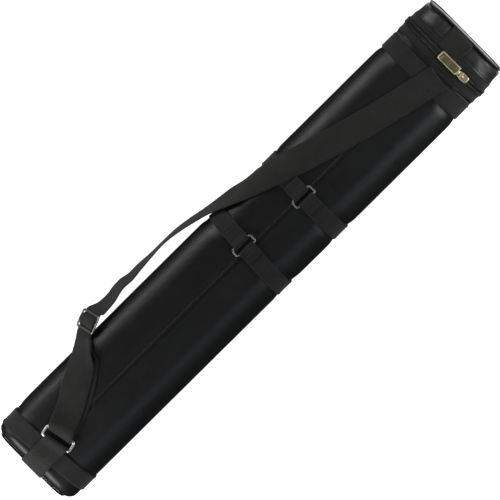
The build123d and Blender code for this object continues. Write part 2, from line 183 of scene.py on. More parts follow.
def frames(path, closed=False, up=None):
    """tangents, normals and binormals along a path, with little twist"""
    p = np.asarray(path, float)
    if closed:
        t = unit(np.roll(p, -1, 0) - np.roll(p, 1, 0))
    else:
        t = unit(np.gradient(p, axis=0))
    n = np.zeros_like(t)
    u = np.array(up if up is not None else (0, 0, 1.0), float)
    for i in range(len(p)):
        v = u - t[i] * np.dot(u, t[i])
        if np.linalg.norm(v) < 1e-3:
            v = np.array([1.0, 0, 0]) - t[i] * t[i][0]
        n[i] = v / np.linalg.norm(v)
        if up is None:
            u = n[i]
    return t, n, np.cross(t, n)


def tube_mesh(path, rn, rb=None, k=10, closed=False, up=None, power=2.0, caps=True):
    """tube of (super)elliptic section; rn along the normal, rb along the binormal"""
    p = np.asarray(path, float)
    rn = np.broadcast_to(np.asarray(rn, float), (len(p),))
    rb = rn if rb is None else np.broadcast_to(np.asarray(rb, float), (len(p),))
    t, n, b = frames(p, closed, up)
    an = np.linspace(0, 2 * math.pi, k, endpoint=False)
    c, s = np.cos(an), np.sin(an)
    c = np.sign(c) * np.abs(c) ** (2 / power)
    s = np.sign(s) * np.abs(s) ** (2 / power)
    v = p[:, None] + n[:, None] * (c[None, :, None] * rn[:, None, None]) + b[:, None] * (s[None, :, None] * rb[:, None, None])
    f = [tuple(q) for q in gfaces(len(p), k, cu=closed, cv=True)]
    v = v.reshape(-1, 3)
    if not closed and caps:
        f.append(tuple(range(k))[::-1] if False else tuple(range(k)))
        f.append(tuple((len(p) - 1) * k + i for i in range(k))[::-1])
    return v, f


def add_poly(bag, v, f):
    v = np.asarray(v, float)
    bag.v.append(v)
    bag.f.extend([tuple(int(k) + bag.n for k in q) for q in f])
    bag.uv.append(np.zeros((len(v), 2)))
    bag.n += len(v)


def catmull(rows, step=2.0, counts=None):
    """smooth interpolation of rows (n, m, 3) along the first axis"""
    P = np.asarray(rows, float)
    mid = P[:, P.shape[1] // 2]
    d = np.linalg.norm(np.diff(mid, axis=0), axis=1)
    n = len(P)
    out = []
    for i in range(n - 1):
        p0 = P[i - 1] if i > 0 else 2 * P[0] - P[1]
        p1, p2 = P[i], P[i + 1]
        p3 = P[i + 2] if i + 2 < n else 2 * P[-1] - P[-2]
        d1 = max(d[i], 1e-6)
        d0 = max(d[i - 1] if i > 0 else d1, 1e-6)
        d2 = max(d[i + 1] if i + 1 < n - 1 else d1, 1e-6)
        # non-uniform tangents
        m1 = ((p1 - p0) / d0 * d1 + (p2 - p1) / d1 * d0) / (d0 + d1) * d1
        m2 = ((p2 - p1) / d1 * d2 + (p3 - p2) / d2 * d1) / (d1 + d2) * d1
        k = max(1, int(round(d1 / step)))
        for j in range(k):
            u = j / k
            h00, h10, h01, h11 = 2 * u**3 - 3 * u**2 + 1, u**3 - 2 * u**2 + u, -2 * u**3 + 3 * u**2, u**3 - u**2
            out.append(h00 * p1 + h10 * m1 + h01 * p2 + h11 * m2)
    out.append(P[-1])
    return np.array(out)


def widen(rows, n):
    """more points across each row, smooth"""
    P = np.swapaxes(np.asarray(rows, float), 0, 1)
    m = P.shape[0]
    if m == 2:
        w = np.linspace(0, 1, n)[:, None, None]
        return np.swapaxes(P[0] * (1 - w) + P[1] * w, 0, 1)
    xs = np.linspace(0, m - 1, n)
    out = []
    for x in xs:
        i = min(int(x), m - 2)
        u = x - i
        p0 = P[i - 1] if i > 0 else 2 * P[0] - P[1]
        p3 = P[i + 2] if i + 2 < m else 2 * P[-1] - P[-2]
        p1, p2 = P[i], P[i + 1]
        out.append(0.5 * ((2 * p1) + (-p0 + p2) * u + (2 * p0 - 5 * p1 + 4 * p2 - p3) * u * u + (-p0 + 3 * p1 - 3 * p2 + p3) * u**3))
    return np.swapaxes(np.array(out), 0, 1)


def grid_normals(G, closed=False):
    if closed:
        du = np.roll(G, -1, 0) - np.roll(G, 1, 0)
    else:
        du = np.gradient(G, axis=0)
    dw = np.gradient(G, axis=1)
    return unit(np.cross(du, dw))


def webbing(name, rows, width, t=1.7, step=2.0, nw=13, mat=None, closed=False, body="body", replaces=(), slot="webbing", ridge=0.0, flip=1.0, cut=True):
    """a woven strap about a grid of centre rows: soft selvedges, thicker middle, real thickness"""
    G = rows if closed else catmull(rows, step)
    G = widen(G, nw)
    n = len(G)
    N = grid_normals(G, closed) * flip
    mid = G[:, nw // 2]
    seg = np.linalg.norm(np.diff(mid, axis=0), axis=1)
    s = np.concatenate([[0], np.cumsum(seg)])
    w = np.linspace(-width / 2, width / 2, nw)
    e = np.abs(w) / (width / 2)
    prof = t / 2 * np.where(e > 0.999, 0.55, np.where(e > 0.80, 0.93, 1.0))
    top = G + N * prof[None, :, None]
    bot = G - N * prof[None, :, None]
    # edge columns, half a thread outside
    sidev = unit(np.gradient(G, axis=1))
    eL = G[:, 0] - sidev[:, 0] * t * 0.22
    eR = G[:, -1] + sidev[:, -1] * t * 0.22
    ring = np.concatenate([top, eR[:, None], bot[:, ::-1], eL[:, None]], axis=1)
    k = ring.shape[1]
    wv = np.concatenate([w, [w[-1] + 0.4], w[::-1], [w[0] - 0.4]])
    uv = np.stack(np.broadcast_arrays(s[:, None], wv[None, :]), -1).reshape(-1, 2) * MM
    f = [tuple(q) for q in gfaces(n, k, cu=closed, cv=True)]
    if not closed:
        a = list(range(nw)) + [nw]
        for e0, fl in ((0, False), ((n - 1) * k, True)):
            for j in range(nw - 1):
                q = (e0 + j, e0 + j + 1, e0 + (2 * nw - 1 - j), e0 + (2 * nw - j))
                q = (e0 + j, e0 + j + 1, e0 + nw + 1 + (nw - 2 - j), e0 + nw + 1 + (nw - 1 - j))
                f.append(q[::-1] if fl else q)
            tr = (e0 + nw - 1, e0 + nw, e0 + nw + 1)
            tl = (e0, e0 + nw + nw, e0 + nw + nw + 1)
            f.append(tr[::-1] if fl else tr)
            f.append(tl if not fl else tl[::-1])
    ob = new_obj(name, ring.reshape(-1, 3), f, mat=mat, body=body, slot=slot, replaces=replaces, uv=uv)
    return ob, G, N, s


def fix_normals(ob):
    bm = bmesh.new()
    bm.from_mesh(ob.data)
    bmesh.ops.recalc_face_normals(bm, faces=bm.faces)
    bm.to_mesh(ob.data)
    bm.free()


def stitch(bag, p, d, n, ln=2.9, r=0.32, lift=0.12):
    """one lock stitch lying along d on a surface of normal n"""
    p, d, n = np.asarray(p, float), unit(np.asarray(d, float)), unit(np.asarray(n, float))
    xs = np.array([-0.5, -0.36, 0.0, 0.36, 0.5]) * ln
    hs = np.array([-0.35, 0.05, lift, 0.05, -0.35])
    path = p[None] + d[None] * xs[:, None] + n[None] * hs[:, None]
    v, f = tube_mesh(path, np.array([0.7, 1, 1.05, 1, 0.7]) * r, k=6, up=n)
    add_poly(bag, v, f)


def stitch_line(bag, pts, nrm, pitch=3.6, ln=2.9, r=0.32, lift=0.12):
    """stitches along a polyline with normals"""
    pts, nrm = np.asarray(pts, float), np.asarray(nrm, float)
    seg = np.linalg.norm(np.diff(pts, axis=0), axis=1)
    s = np.concatenate([[0], np.cumsum(seg)])
    n = max(1, int(s[-1] / pitch))
    at = (np.arange(n) + 0.5) * s[-1] / n
    px = np.stack([np.interp(at, s, pts[:, i]) for i in range(3)], -1)
    nx = unit(np.stack([np.interp(at, s, nrm[:, i]) for i in range(3)], -1))
    e = 0.6
    pa = np.stack([np.interp(at - e, s, pts[:, i]) for i in range(3)], -1)
    pb = np.stack([np.interp(at + e, s, pts[:, i]) for i in range(3)], -1)
    for i in range(n):
        stitch(bag, px[i], pb[i] - pa[i], nx[i], ln, r, lift)


# ------------------------------------------------------------------ materials
class M:
    """small helper round a node tree"""
    def __init__(self, name, slot=None):
        self.m = bpy.data.materials.new(name)
        self.m.use_nodes = True
        self.nt = self.m.node_tree
        self.nt.nodes.clear()
        self.out = self.nt.nodes.new("ShaderNodeOutputMaterial")
        self.b = self.nt.nodes.new("ShaderNodeBsdfPrincipled")
        self.nt.links.new(self.b.outputs[0], self.out.inputs[0])

    def n(self, typ, **kw):
        nd = self.nt.nodes.new(typ)
        ins = kw.pop("i", {})
        for k, v in kw.items():
            setattr(nd, k, v)
        for k, v in ins.items():
            self.set(nd.inputs[k], v)
        return nd

    def set(self, sock, v):
        if isinstance(v, bpy.types.NodeSocket):
            self.nt.links.new(v, sock)
        elif isinstance(v, bpy.types.Node):
            self.nt.links.new(v.outputs[0], sock)
        else:
            sock.default_value = v

    def math(self, op, a, b=0.0, c=None, clamp=False):
        nd = self.n("ShaderNodeMath", operation=op, use_clamp=clamp)
        self.set(nd.inputs[0], a)
        self.set(nd.inputs[1], b)
        if c is not None:
            self.set(nd.inputs[2], c)
        return nd.outputs[0]

    def mapr(self, v, a, b, c, d, smoothstep=False):
        nd = self.n("ShaderNodeMapRange", clamp=True)
        if smoothstep:
            nd.interpolation_type = "SMOOTHSTEP"
        for i, x in enumerate((v, a, b, c, d)):
            self.set(nd.inputs[i], x)
        return nd.outputs[0]

    def mix(self, f, a, b):
        nd = self.n("ShaderNodeMix", data_type="RGBA")
        self.set(nd.inputs[0], f)
        self.set(nd.inputs[6], a if isinstance(a, (bpy.types.NodeSocket,)) else tuple(a) + ((1.0,) if len(a) == 3 else ()))
        self.set(nd.inputs[7], b if isinstance(b, (bpy.types.NodeSocket,)) else tuple(b) + ((1.0,) if len(b) == 3 else ()))
        return nd.outputs[2]

    def obj(self):
        return self.n("ShaderNodeTexCoord").outputs["Object"]

    def noise(self, scale, detail=3.0, rough=0.55, vec=None, dist=0.0):
        nd = self.n("ShaderNodeTexNoise", i={"Scale": scale, "Detail": detail, "Roughness": rough, "Distortion": dist})
        if vec is not None:
            self.set(nd.inputs["Vector"], vec)
        else:
            self.set(nd.inputs["Vector"], self.obj())
        return nd.outputs["Fac"]

    def bump(self, h, strength=0.5, dist=0.0002, normal=None):
        nd = self.n("ShaderNodeBump", i={"Strength": strength, "Distance": dist, "Height": h})
        if normal is not None:
            self.set(nd.inputs["Normal"], normal)
        return nd.outputs[0]


def leather(name, base=(0.0062, 0.0062, 0.0068), rough=0.36, spec=0.42, grain=820.0, depth=0.00009, lo=0.0):
    k = M(name)
    o = k.obj()
    warp = k.n("ShaderNodeTexNoise", i={"Scale": 420.0, "Detail": 2.0, "Vector": o})
    add = k.n("ShaderNodeVectorMath", operation="MULTIPLY_ADD")
    k.set(add.inputs[0], warp.outputs["Color"])
    add.inputs[1].default_value = (0.0011, 0.0011, 0.0011)
    k.set(add.inputs[2], o)
    cell = k.n("ShaderNodeTexVoronoi", feature="DISTANCE_TO_EDGE", i={"Scale": grain, "Vector": add.outputs[0]})
    pebble = k.mapr(cell.outputs["Distance"], 0.0, 0.32, 0.0, 1.0, True)
    fine = k.noise(2600.0, 3.0, 0.6)
    broad = k.noise(16.0, 4.0, 0.55)
    mid = k.noise(70.0, 4.0, 0.6)
    scuff = k.noise(9.0, 6.0, 0.72)
    h = k.math("ADD", pebble, k.math("MULTIPLY", fine, 0.22))
    b1 = k.bump(mid, 0.28, 0.0009)
    b2 = k.bump(h, 0.55, depth, b1)
    k.set(k.b.inputs["Normal"], b2)
    dust = k.mapr(scuff, 0.52, 0.78, 0.0, 1.0)
    # darker in the grain's grooves between the pebbles, more so in broad patches
    grain_groove_dark = k.math("MULTIPLY", k.math("SUBTRACT", 1.0, pebble), k.mapr(broad, 0.35, 0.7, 0.1, 0.55))
    c1 = k.mix(k.math("MULTIPLY", dust, 0.35), base, tuple(min(1, x * 2.3) for x in base))
    c2 = k.mix(grain_groove_dark, c1, tuple(x * 0.55 for x in base))
    k.set(k.b.inputs["Base Color"], c2)
    r1 = k.mapr(k.math("ADD", k.math("MULTIPLY", broad, 0.6), k.math("MULTIPLY", mid, 0.4)), 0.32, 0.68, rough - 0.05, rough + 0.08)
    r2 = k.math("ADD", r1, k.math("MULTIPLY", k.math("SUBTRACT", 1.0, pebble), 0.16))
    k.set(k.b.inputs["Roughness"], r2)
    k.b.inputs["Specular IOR Level"].default_value = spec
    return k.m


def weave(name, base=(0.03, 0.029, 0.028), hi=(0.055, 0.053, 0.05), ps=0.0016, pw=0.00235, rough=0.78, depth=0.00022, sheen=0.12, twill=True, fuzz=1.0, half=0.0187):
    """webbing: rows of chevrons of flat yarns, lighter on their tops and darker between them as painted light and shade
    following the yarn height, a denser selvedge
    """
    k = M(name)
    uvn = k.n("ShaderNodeUVMap", uv_map="wv")
    sep = k.n("ShaderNodeSeparateXYZ")
    k.set(sep.inputs[0], uvn.outputs[0])
    jit = k.noise(260.0, 2.0, 0.5)
    s = k.math("ADD", k.math("DIVIDE", sep.outputs[0], ps), k.math("MULTIPLY", k.math("SUBTRACT", jit, 0.5), 0.5))
    w = k.math("DIVIDE", sep.outputs[1], pw)
    fw = k.math("FRACT", w)
    tri = k.math("ABSOLUTE", k.math("SUBTRACT", fw, 0.5))            # 0 at a column's middle, .5 at its edge
    col = k.math("FLOOR", w)
    odd = k.math("MODULO", k.math("ABSOLUTE", col), 2.0)
    sh = k.math("MULTIPLY", k.math("SUBTRACT", fw, 0.5), k.math("SUBTRACT", 1.0, k.math("MULTIPLY", odd, 2.0))) if twill else 0.0
    ph = k.math("ADD", s, k.math("MULTIPLY", sh, 1.0)) if twill else s
    yarn = k.math("ABSOLUTE", k.math("SINE", k.math("MULTIPLY", ph, math.pi)))
    edge = k.math("SUBTRACT", 1.0, k.math("POWER", k.math("MULTIPLY", tri, 2.0), 3.0))
    h = k.math("MULTIPLY", k.math("POWER", yarn, 0.7), edge)
    fib = k.noise(3800.0, 2.0, 0.5)
    broad = k.noise(45.0, 4.0, 0.6)
    hh = k.math("ADD", h, k.math("MULTIPLY", fib, 0.3))
    k.set(k.b.inputs["Normal"], k.bump(hh, 0.75, depth))
    worn = k.mapr(broad, 0.35, 0.7, 0.15, 0.85)
    # the colour follows the yarn height: painted shade between the yarns and a painted highlight on their tops, varied
    # by fibre noise and worn patches
    f = k.math("MULTIPLY", k.math("ADD", k.math("MULTIPLY", h, 0.65), k.math("MULTIPLY", fib, 0.35)), k.math("ADD", 0.45, worn))
    c = k.mix(k.math("MULTIPLY", f, 1.0, clamp=True), tuple(x * 0.45 for x in base), hi)
    # selvedge
    sel = k.mapr(k.math("ABSOLUTE", sep.outputs[1]), half - 0.0022, half - 0.0012, 0.0, 0.35)
    c = k.mix(sel, c, tuple(x * 0.75 for x in base))
    lint = k.mapr(k.noise(900.0, 3.0, 0.75), 0.66, 0.8, 0.0, 0.35 * fuzz)
    c = k.mix(lint, c, tuple(min(1, x * 2.6) for x in hi))
    k.set(k.b.inputs["Base Color"], c)
    k.set(k.b.inputs["Roughness"], k.mapr(fib, 0.3, 0.7, rough - 0.06, rough + 0.08))
    k.b.inputs["Specular IOR Level"].default_value = 0.3
    k.b.inputs["Sheen Weight"].default_value = sheen
    k.b.inputs["Sheen Roughness"].default_value = 0.4
    return k.m


def thread(name, base=(0.02, 0.02, 0.02)):
    k = M(name)
    tw = k.n("ShaderNodeTexWave", i={"Scale": 900.0, "Distortion": 1.5, "Detail": 1.0})
    k.set(tw.inputs["Vector"], k.obj())
    nz = k.noise(1500.0, 2.0)
    k.set(k.b.inputs["Base Color"], k.mix(k.math("MULTIPLY", tw.outputs["Fac"], nz), tuple(x * 0.5 for x in base), tuple(x * 1.8 for x in base)))
    k.set(k.b.inputs["Roughness"], k.mapr(nz, 0.3, 0.7, 0.45, 0.62))
    k.set(k.b.inputs["Normal"], k.bump(tw.outputs["Fac"], 0.5, 0.00008))
    return k.m


def metal(name, col, dark, rough=0.22, scratch=0.5, grain=(60, 60, 2500), tarn=0.5):
    k = M(name)
    o = k.obj()
    mp = k.n("ShaderNodeMapping", i={"Vector": o, "Scale": grain})
    fine = k.n("ShaderNodeTexNoise", i={"Scale": 1.0, "Detail": 4.0, "Roughness": 0.7, "Vector": mp.outputs[0]}).outputs["Fac"]
    broad = k.noise(160.0, 4.0, 0.65)
    spots = k.noise(700.0, 3.0, 0.6)
    t = k.math("MULTIPLY", k.mapr(broad, 0.42, 0.68, 0.0, 1.0), k.mapr(spots, 0.4, 0.6, 0.4, 1.0))
    k.set(k.b.inputs["Base Color"], k.mix(k.math("MULTIPLY", t, tarn), col, dark))
    k.b.inputs["Metallic"].default_value = 1.0
    k.set(k.b.inputs["Roughness"], k.math("ADD", k.mapr(fine, 0.3, 0.7, rough - 0.06, rough + 0.1), k.math("MULTIPLY", t, 0.15)))
    k.set(k.b.inputs["Normal"], k.bump(k.math("ADD", fine, k.math("MULTIPLY", spots, 0.4)), 0.25 * scratch, 0.00005))
    return k.m


def plastic(name, base, rough=0.4, spec=0.4, bscale=900.0, bs=0.2, dist=0.00008):
    k = M(name)
    fine = k.noise(bscale, 4.0, 0.6)
    broad = k.noise(60.0, 4.0, 0.6)
    k.set(k.b.inputs["Base Color"], k.mix(k.mapr(broad, 0.35, 0.7, 0.0, 1.0), tuple(x * 0.8 for x in base), tuple(x * 1.35 for x in base)))
    k.set(k.b.inputs["Roughness"], k.mapr(k.math("ADD", k.math("MULTIPLY", fine, 0.5), k.math("MULTIPLY", broad, 0.5)), 0.35, 0.65, rough - 0.06, rough + 0.1))
    k.set(k.b.inputs["Normal"], k.bump(fine, bs, dist))
    k.b.inputs["Specular IOR Level"].default_value = spec
    return k.m


def velour(name, base):
    k = M(name)
    pile = k.noise(2400.0, 3.0, 0.7)
    sweep = k.noise(38.0, 3.0, 0.6, dist=1.2)
    k.set(k.b.inputs["Base Color"], k.mix(k.math("MULTIPLY", k.mapr(sweep, 0.35, 0.65, 0.2, 1.0), pile), tuple(x * 0.5 for x in base), tuple(x * 2.2 for x in base)))
    k.b.inputs["Roughness"].default_value = 0.95
    k.b.inputs["Sheen Weight"].default_value = 0.6
    k.b.inputs["Sheen Roughness"].default_value = 0.35
    k.b.inputs["Specular IOR Level"].default_value = 0.15
    k.set(k.b.inputs["Normal"], k.bump(k.math("ADD", pile, k.math("MULTIPLY", sweep, 0.6)), 0.8, 0.0004))
    return k.m


def foam_mat(name, base):
    k = M(name)
    cell = k.n("ShaderNodeTexVoronoi", i={"Scale": 900.0, "Vector": k.obj()})
    nz = k.noise(120.0, 4.0, 0.6)
    k.set(k.b.inputs["Base Color"], k.mix(k.math("MULTIPLY", cell.outputs["Distance"], nz), tuple(x * 0.6 for x in base), tuple(x * 1.5 for x in base)))
    k.set(k.b.inputs["Roughness"], k.mapr(nz, 0.3, 0.7, 0.82, 0.97))
    k.set(k.b.inputs["Normal"], k.bump(cell.outputs["Distance"], 0.6, 0.0003))
    return k.m


MAT_LEATHER = leather("cover_leatherette", base=(0.0042, 0.0042, 0.0047), rough=0.30, spec=0.40)
# a copy of the cover leatherette for the padded ends and the lid cover, more specular, with a lighter base colour; the
# lighter colour is painted light for the brightly lit ends
MAT_LEATHER_END = leather("end_leatherette", base=(0.0070, 0.0070, 0.0074), rough=0.34, spec=0.6)
MAT_PIPING = leather("piping_leatherette", base=(0.004, 0.004, 0.0042), rough=0.42, spec=0.3, grain=1100.0)
MAT_WEB = weave("strap_webbing", base=(0.0105, 0.0101, 0.0096), hi=(0.021, 0.020, 0.0185), sheen=0.08)
MAT_BAND = weave("band_webbing", base=(0.0098, 0.0096, 0.0094), hi=(0.019, 0.0186, 0.018), sheen=0.08, half=0.0125)
MAT_TAPE = weave("zip_tape_weave", base=(0.009, 0.009, 0.0095), hi=(0.018, 0.018, 0.0185), ps=0.0009, pw=0.0011, depth=0.0001, half=0.2, fuzz=0.4)
MAT_COIL = plastic("zip_coil_nylon", (0.012, 0.012, 0.0125), rough=0.34, spec=0.45)
MAT_THREAD = thread("thread_black", (0.011, 0.011, 0.011))
MAT_RING = metal("ring_nickel", (0.80, 0.79, 0.77), (0.42, 0.41, 0.39), rough=0.30, scratch=0.3, tarn=0.45)
MAT_ADJ = metal("adjuster_gunmetal", (0.40, 0.40, 0.40), (0.16, 0.16, 0.16), rough=0.34, scratch=0.3, tarn=0.6)
MAT_GUN = metal("band_ring_gunmetal", (0.24, 0.24, 0.245), (0.08, 0.08, 0.08), rough=0.36, scratch=0.3, tarn=0.6)
MAT_BRASS = metal("pull_brass", (0.72, 0.62, 0.40), (0.34, 0.27, 0.14), rough=0.32, scratch=0.25, tarn=0.6)
MAT_BRASS_LOW = metal("pull_brass_sunk", (0.17, 0.15, 0.085), (0.06, 0.05, 0.03), rough=0.5, scratch=0.25, tarn=0.7)
MAT_SHELL = plastic("shell_fibre", (0.02, 0.02, 0.02), rough=0.6, spec=0.3, bscale=500.0, bs=0.4)
MAT_FOAM = foam_mat("foam_grey", (0.03, 0.03, 0.032))
MAT_VEL = velour("velour_black", (0.014, 0.014, 0.016))
MAT_LINING = velour("lining_black", (0.011, 0.011, 0.012))


def give(node, mat):
    ob = frame["nodes"][node] if isinstance(frame["nodes"], dict) else None
    ob.data.materials.clear()
    ob.data.materials.append(mat)
    return ob


# ------------------------------------------------------------------ body cover
def bandedge(x, a):
    """a tight band presses the cover in beside it"""
    y = sect(a, 0.0)[0]
    d = np.zeros_like(x)
    for xc, half, deg in ((-385.0, 12.6, 4.6), (-0.2, 12.4, -3.2), (103.6, 12.6, -0.8), (332.6, 12.5, 0.0)):
        e = np.abs(x - (xc - y * math.tan(math.radians(deg)))) - half
        d += -0.34 * np.exp(-(np.maximum(e, 0) / 3.6) ** 2)
    return d


def wob(x, a, sc, seed):
    """smooth pseudo-noise"""
    v = np.zeros_like(x)
    r = np.random.RandomState(seed)
    for i in range(7):
        fx, fa = r.uniform(0.35, 1.4) / sc, r.uniform(0.35, 1.4) / sc
        ph = r.uniform(0, 6.28, 2)
        v += np.sin(x * fx * 2 * math.pi + ph[0] + 1.7 * np.sin(a * fa * 3)) * np.cos(a * fa * 2 * math.pi + ph[1])
    return v / 7


def seam_profile(x, a):
    """the upper panel's folded edge lies over the lower one; a top stitch runs beside it"""
    up = 0.75 * smooth(-0.3, 0.5, a) * (1 - smooth(2.0, 20.0, a) * 0.9) - 0.55 * np.exp(-((a + 0.7) / 0.6) ** 2)
    groove = -0.42 * np.exp(-((a - 3.4) / 0.75) ** 2)
    puck = 0.16 * np.exp(-((a - 5.2) / 3.2) ** 2) * np.sin(2 * math.pi * x / 7.3 + 1.3 * np.sin(x / 31.0)) + 0.12 * np.exp(-((a + 2.6) / 2.4) ** 2) * np.sin(2 * math.pi * x / 8.1 + 0.7)
    return (up + groove + puck) * (np.abs(a) < 30)


a_s = np.concatenate([np.linspace(-A5, -12, 74, endpoint=False), np.linspace(-12, -1.2, 12, endpoint=False), np.linspace(-1.2, 0.8, 9, endpoint=False),
                      np.linspace(0.8, 6.5, 16, endpoint=False), np.linspace(6.5, 20, 12, endpoint=False), np.linspace(20, A5, 70, endpoint=False)])
m_end = X_BOT + END_R - END_R * math.radians(84)
m_s = np.concatenate([np.linspace(m_end, -398, 14, endpoint=False), np.arange(-398, 345.1, 2.9), [347.0, 349.0, 350.6, 351.6, 352.4, 353.0]])
Mg, Ag = np.meshgrid(m_s, a_s, indexing="ij")
disp = seam_profile(Mg, Ag) + bandedge(Mg, Ag) + 0.16 * wob(Mg, Ag, 90.0, 3)
hem = 0.45 * smooth(346.5, 349.5, Mg) - 0.55 * smooth(351.6, 353.0, Mg) - 0.35 * np.exp(-((Mg - 349.6) / 0.7) ** 2)
outer = on(Mg, Ag, disp + hem)
inner = on(Mg, Ag, np.minimum(disp, 0) * 0.3 - 0.95)
nm, na = len(m_s), len(a_s)
V = np.concatenate([outer.reshape(-1, 3), inner.reshape(-1, 3)])
Fc = [tuple(q) for q in gfaces(nm, na, cv=True)] + [tuple(q) for q in gfaces(nm, na, cv=True, base=nm * na, flip=True)]
for j in range(na):
    j2 = (j + 1) % na
    Fc.append((j, j2, nm * na + j2, nm * na + j)[::-1])
    e = (nm - 1) * na
    Fc.append((e + j, e + j2, nm * na + e + j2, nm * na + e + j))
cover = new_obj("cover", V, Fc, mat=MAT_LEATHER, slot="leatherette", replaces=("body_cover",))
fix_normals(cover)

ST = Bag()          # all black stitches on the body
STL = Bag()         # and on the lid


def normals_at(m, a, kind="body"):
    p = on(m, a, 0.0, kind)
    q = on(m, a, 1.0, kind)
    return unit(q - p)


# top stitch of the lengthwise seam
xs = np.arange(-396, 346, 2.0)
xs = xs[(np.abs(xs + 385) > 14) & (np.abs(xs - 332.6) > 13.5)]
run = []
for x0, x1 in ((-370.5, -13.5), (13.5, 90.0), (117.5, 319.0)):
    xx = np.arange(x0, x1, 3.0)
    aa = np.full_like(xx, 3.4)
    stitch_line(ST, on(xx, aa, 0.42), normals_at(xx, aa), pitch=4.2, ln=3.3, r=0.36)
# hem stitch beside the zip
aa = np.linspace(-A5, A5, 400)
stitch_line(ST, on(np.full_like(aa, 349.6), aa, 0.12), normals_at(np.full_like(aa, 349.6), aa), pitch=3.4)


# ------------------------------------------------------------------ padded end panels and piping
def knock(a):
    """the lid's one knocked-in corner, round the section"""
    return np.exp(-((np.asarray(a, float) - 76.0) / 21.0) ** 2)


def end_panel(name, x_edge, inset, dome, sgn, replaces, mat, body, slot="leatherette", depth=1.4, nk=16, seed=1, pinch=0.0):
    aa = np.linspace(-A5, A5, 180, endpoint=False)
    y, z, ny, nz = sect(aa, -inset - 0.5 * pinch * knock(aa))
    e = np.stack([y, z - ZC], -1)
    ks = 1 - (np.linspace(0, 1, nk) ** 1.6) * 0.985
    rows = []
    for i, kk in enumerate(ks):
        q = (1 - kk ** 2.6) ** 0.8
        wv_ = 0.28 * wob(e[:, 0] * kk, e[:, 1] * kk, 34.0, seed) * q
        x = x_edge + sgn * (dome * q + wv_ - pinch * knock(aa) * kk ** 4)
        rows.append(np.stack([x, e[:, 0] * kk, ZC + e[:, 1] * kk], -1))
    for kk in ks[::-1]:
        rows.append(np.stack([x_edge - sgn * (depth + pinch * knock(aa) * kk ** 4), e[:, 0] * kk, ZC + e[:, 1] * kk], -1))
    G = np.array(rows)
    n, k = G.shape[:2]
    f = [tuple(q) for q in gfaces(n, k, cu=True, cv=True)]
    # close the two small middles
    mid0, mid1 = nk - 1, nk
    f = [q for q in f if not (q[0] // k == mid0 and q[2] // k == mid1)]
    f.append(tuple(mid0 * k + j for j in range(k)))
    f.append(tuple(mid1 * k + j for j in range(k))[::-1])
    ob = new_obj(name, G.reshape(-1, 3), f, mat=mat, body=body, slot=slot, replaces=replaces)
    fix_normals(ob)
    return ob


bp = end_panel("bottom_end", X_BOT, END_R - 0.4, 0.9, -1, ("bottom_panel",), MAT_LEATHER_END, "body", seed=5)


def piping_obj(name, x, inset, r, body, replaces, wavy=0.0, sgn=1, bag=None, pinch=0.0):
    aa = np.linspace(-A5, A5, 300, endpoint=False)
    wv_ = wavy * wob(aa, aa * 0 + 11.0, 70.0, 9) - pinch * knock(aa)
    y, z, ny, nz = sect(aa, -inset + wv_ * 0.5)
    path = np.stack([x + sgn * wv_, y, z], -1)
    v, f = tube_mesh(path, r, k=12, closed=True, up=(1.0, 0, 0))
    ob = new_obj(name, v, f, mat=MAT_PIPING, body=body, slot="piping", replaces=replaces)
    fix_normals(ob)
    # stitches beside the cord
    nrm = np.stack([np.full_like(ny, 0.5 * sgn), ny, nz], -1)
    y2, z2, _, _ = sect(aa, -inset + 2.1 - pinch * knock(aa))
    stitch_line(bag, np.stack([x - sgn * 0.35 + sgn * wv_, y2, z2], -1), nrm, pitch=3.6)
    return ob


piping_obj("bottom_piping_cord", X_BOT - 1.45, END_R - 1.0, 1.4, "body", ("bottom_piping",), sgn=-1, bag=ST)


# ------------------------------------------------------------------ bands
def band_rows(xc, half, deg, a_list, o_list, nw=5):
    a_list = np.asarray(a_list, float)
    y = sect(np.clip(a_list, -A5, A5), 0.0)[0]
    rows = []
    for a, o, yy in zip(a_list, o_list, y):
        mm = xc - yy * math.tan(math.radians(deg)) + np.linspace(-half, half, nw)
        rows.append(on(mm, np.full(nw, a), np.full(nw, o)))
    return np.array(rows)


def closed_band(name, xc, half, deg, node, lift=0.92):
    aa = np.linspace(-A5, A5, 220, endpoint=False)
    rows = band_rows(xc, half, deg, aa, np.full(len(aa), lift), nw=9)
    ob, G, N, s = webbing(name, rows, 2 * half, t=1.75, nw=13, mat=MAT_BAND, closed=True, replaces=(node,))
    fix_normals(ob)
    for k in (-half + 1.7, half - 1.7):
        y = sect(aa, 0.0)[0]
        mm = xc - y * math.tan(math.radians(deg)) + k
        stitch_line(ST, on(mm, aa, lift + 0.82), normals_at(mm, aa), pitch=3.6, r=0.34)
    return ob


closed_band("bottom_band_webbing", -385.0, 12.6, 4.6, "bottom_band")
closed_band("upper_band_webbing", 332.6, 12.5, 0.0, "upper_band")

BAR_Y, RW = 5.8, 1.5


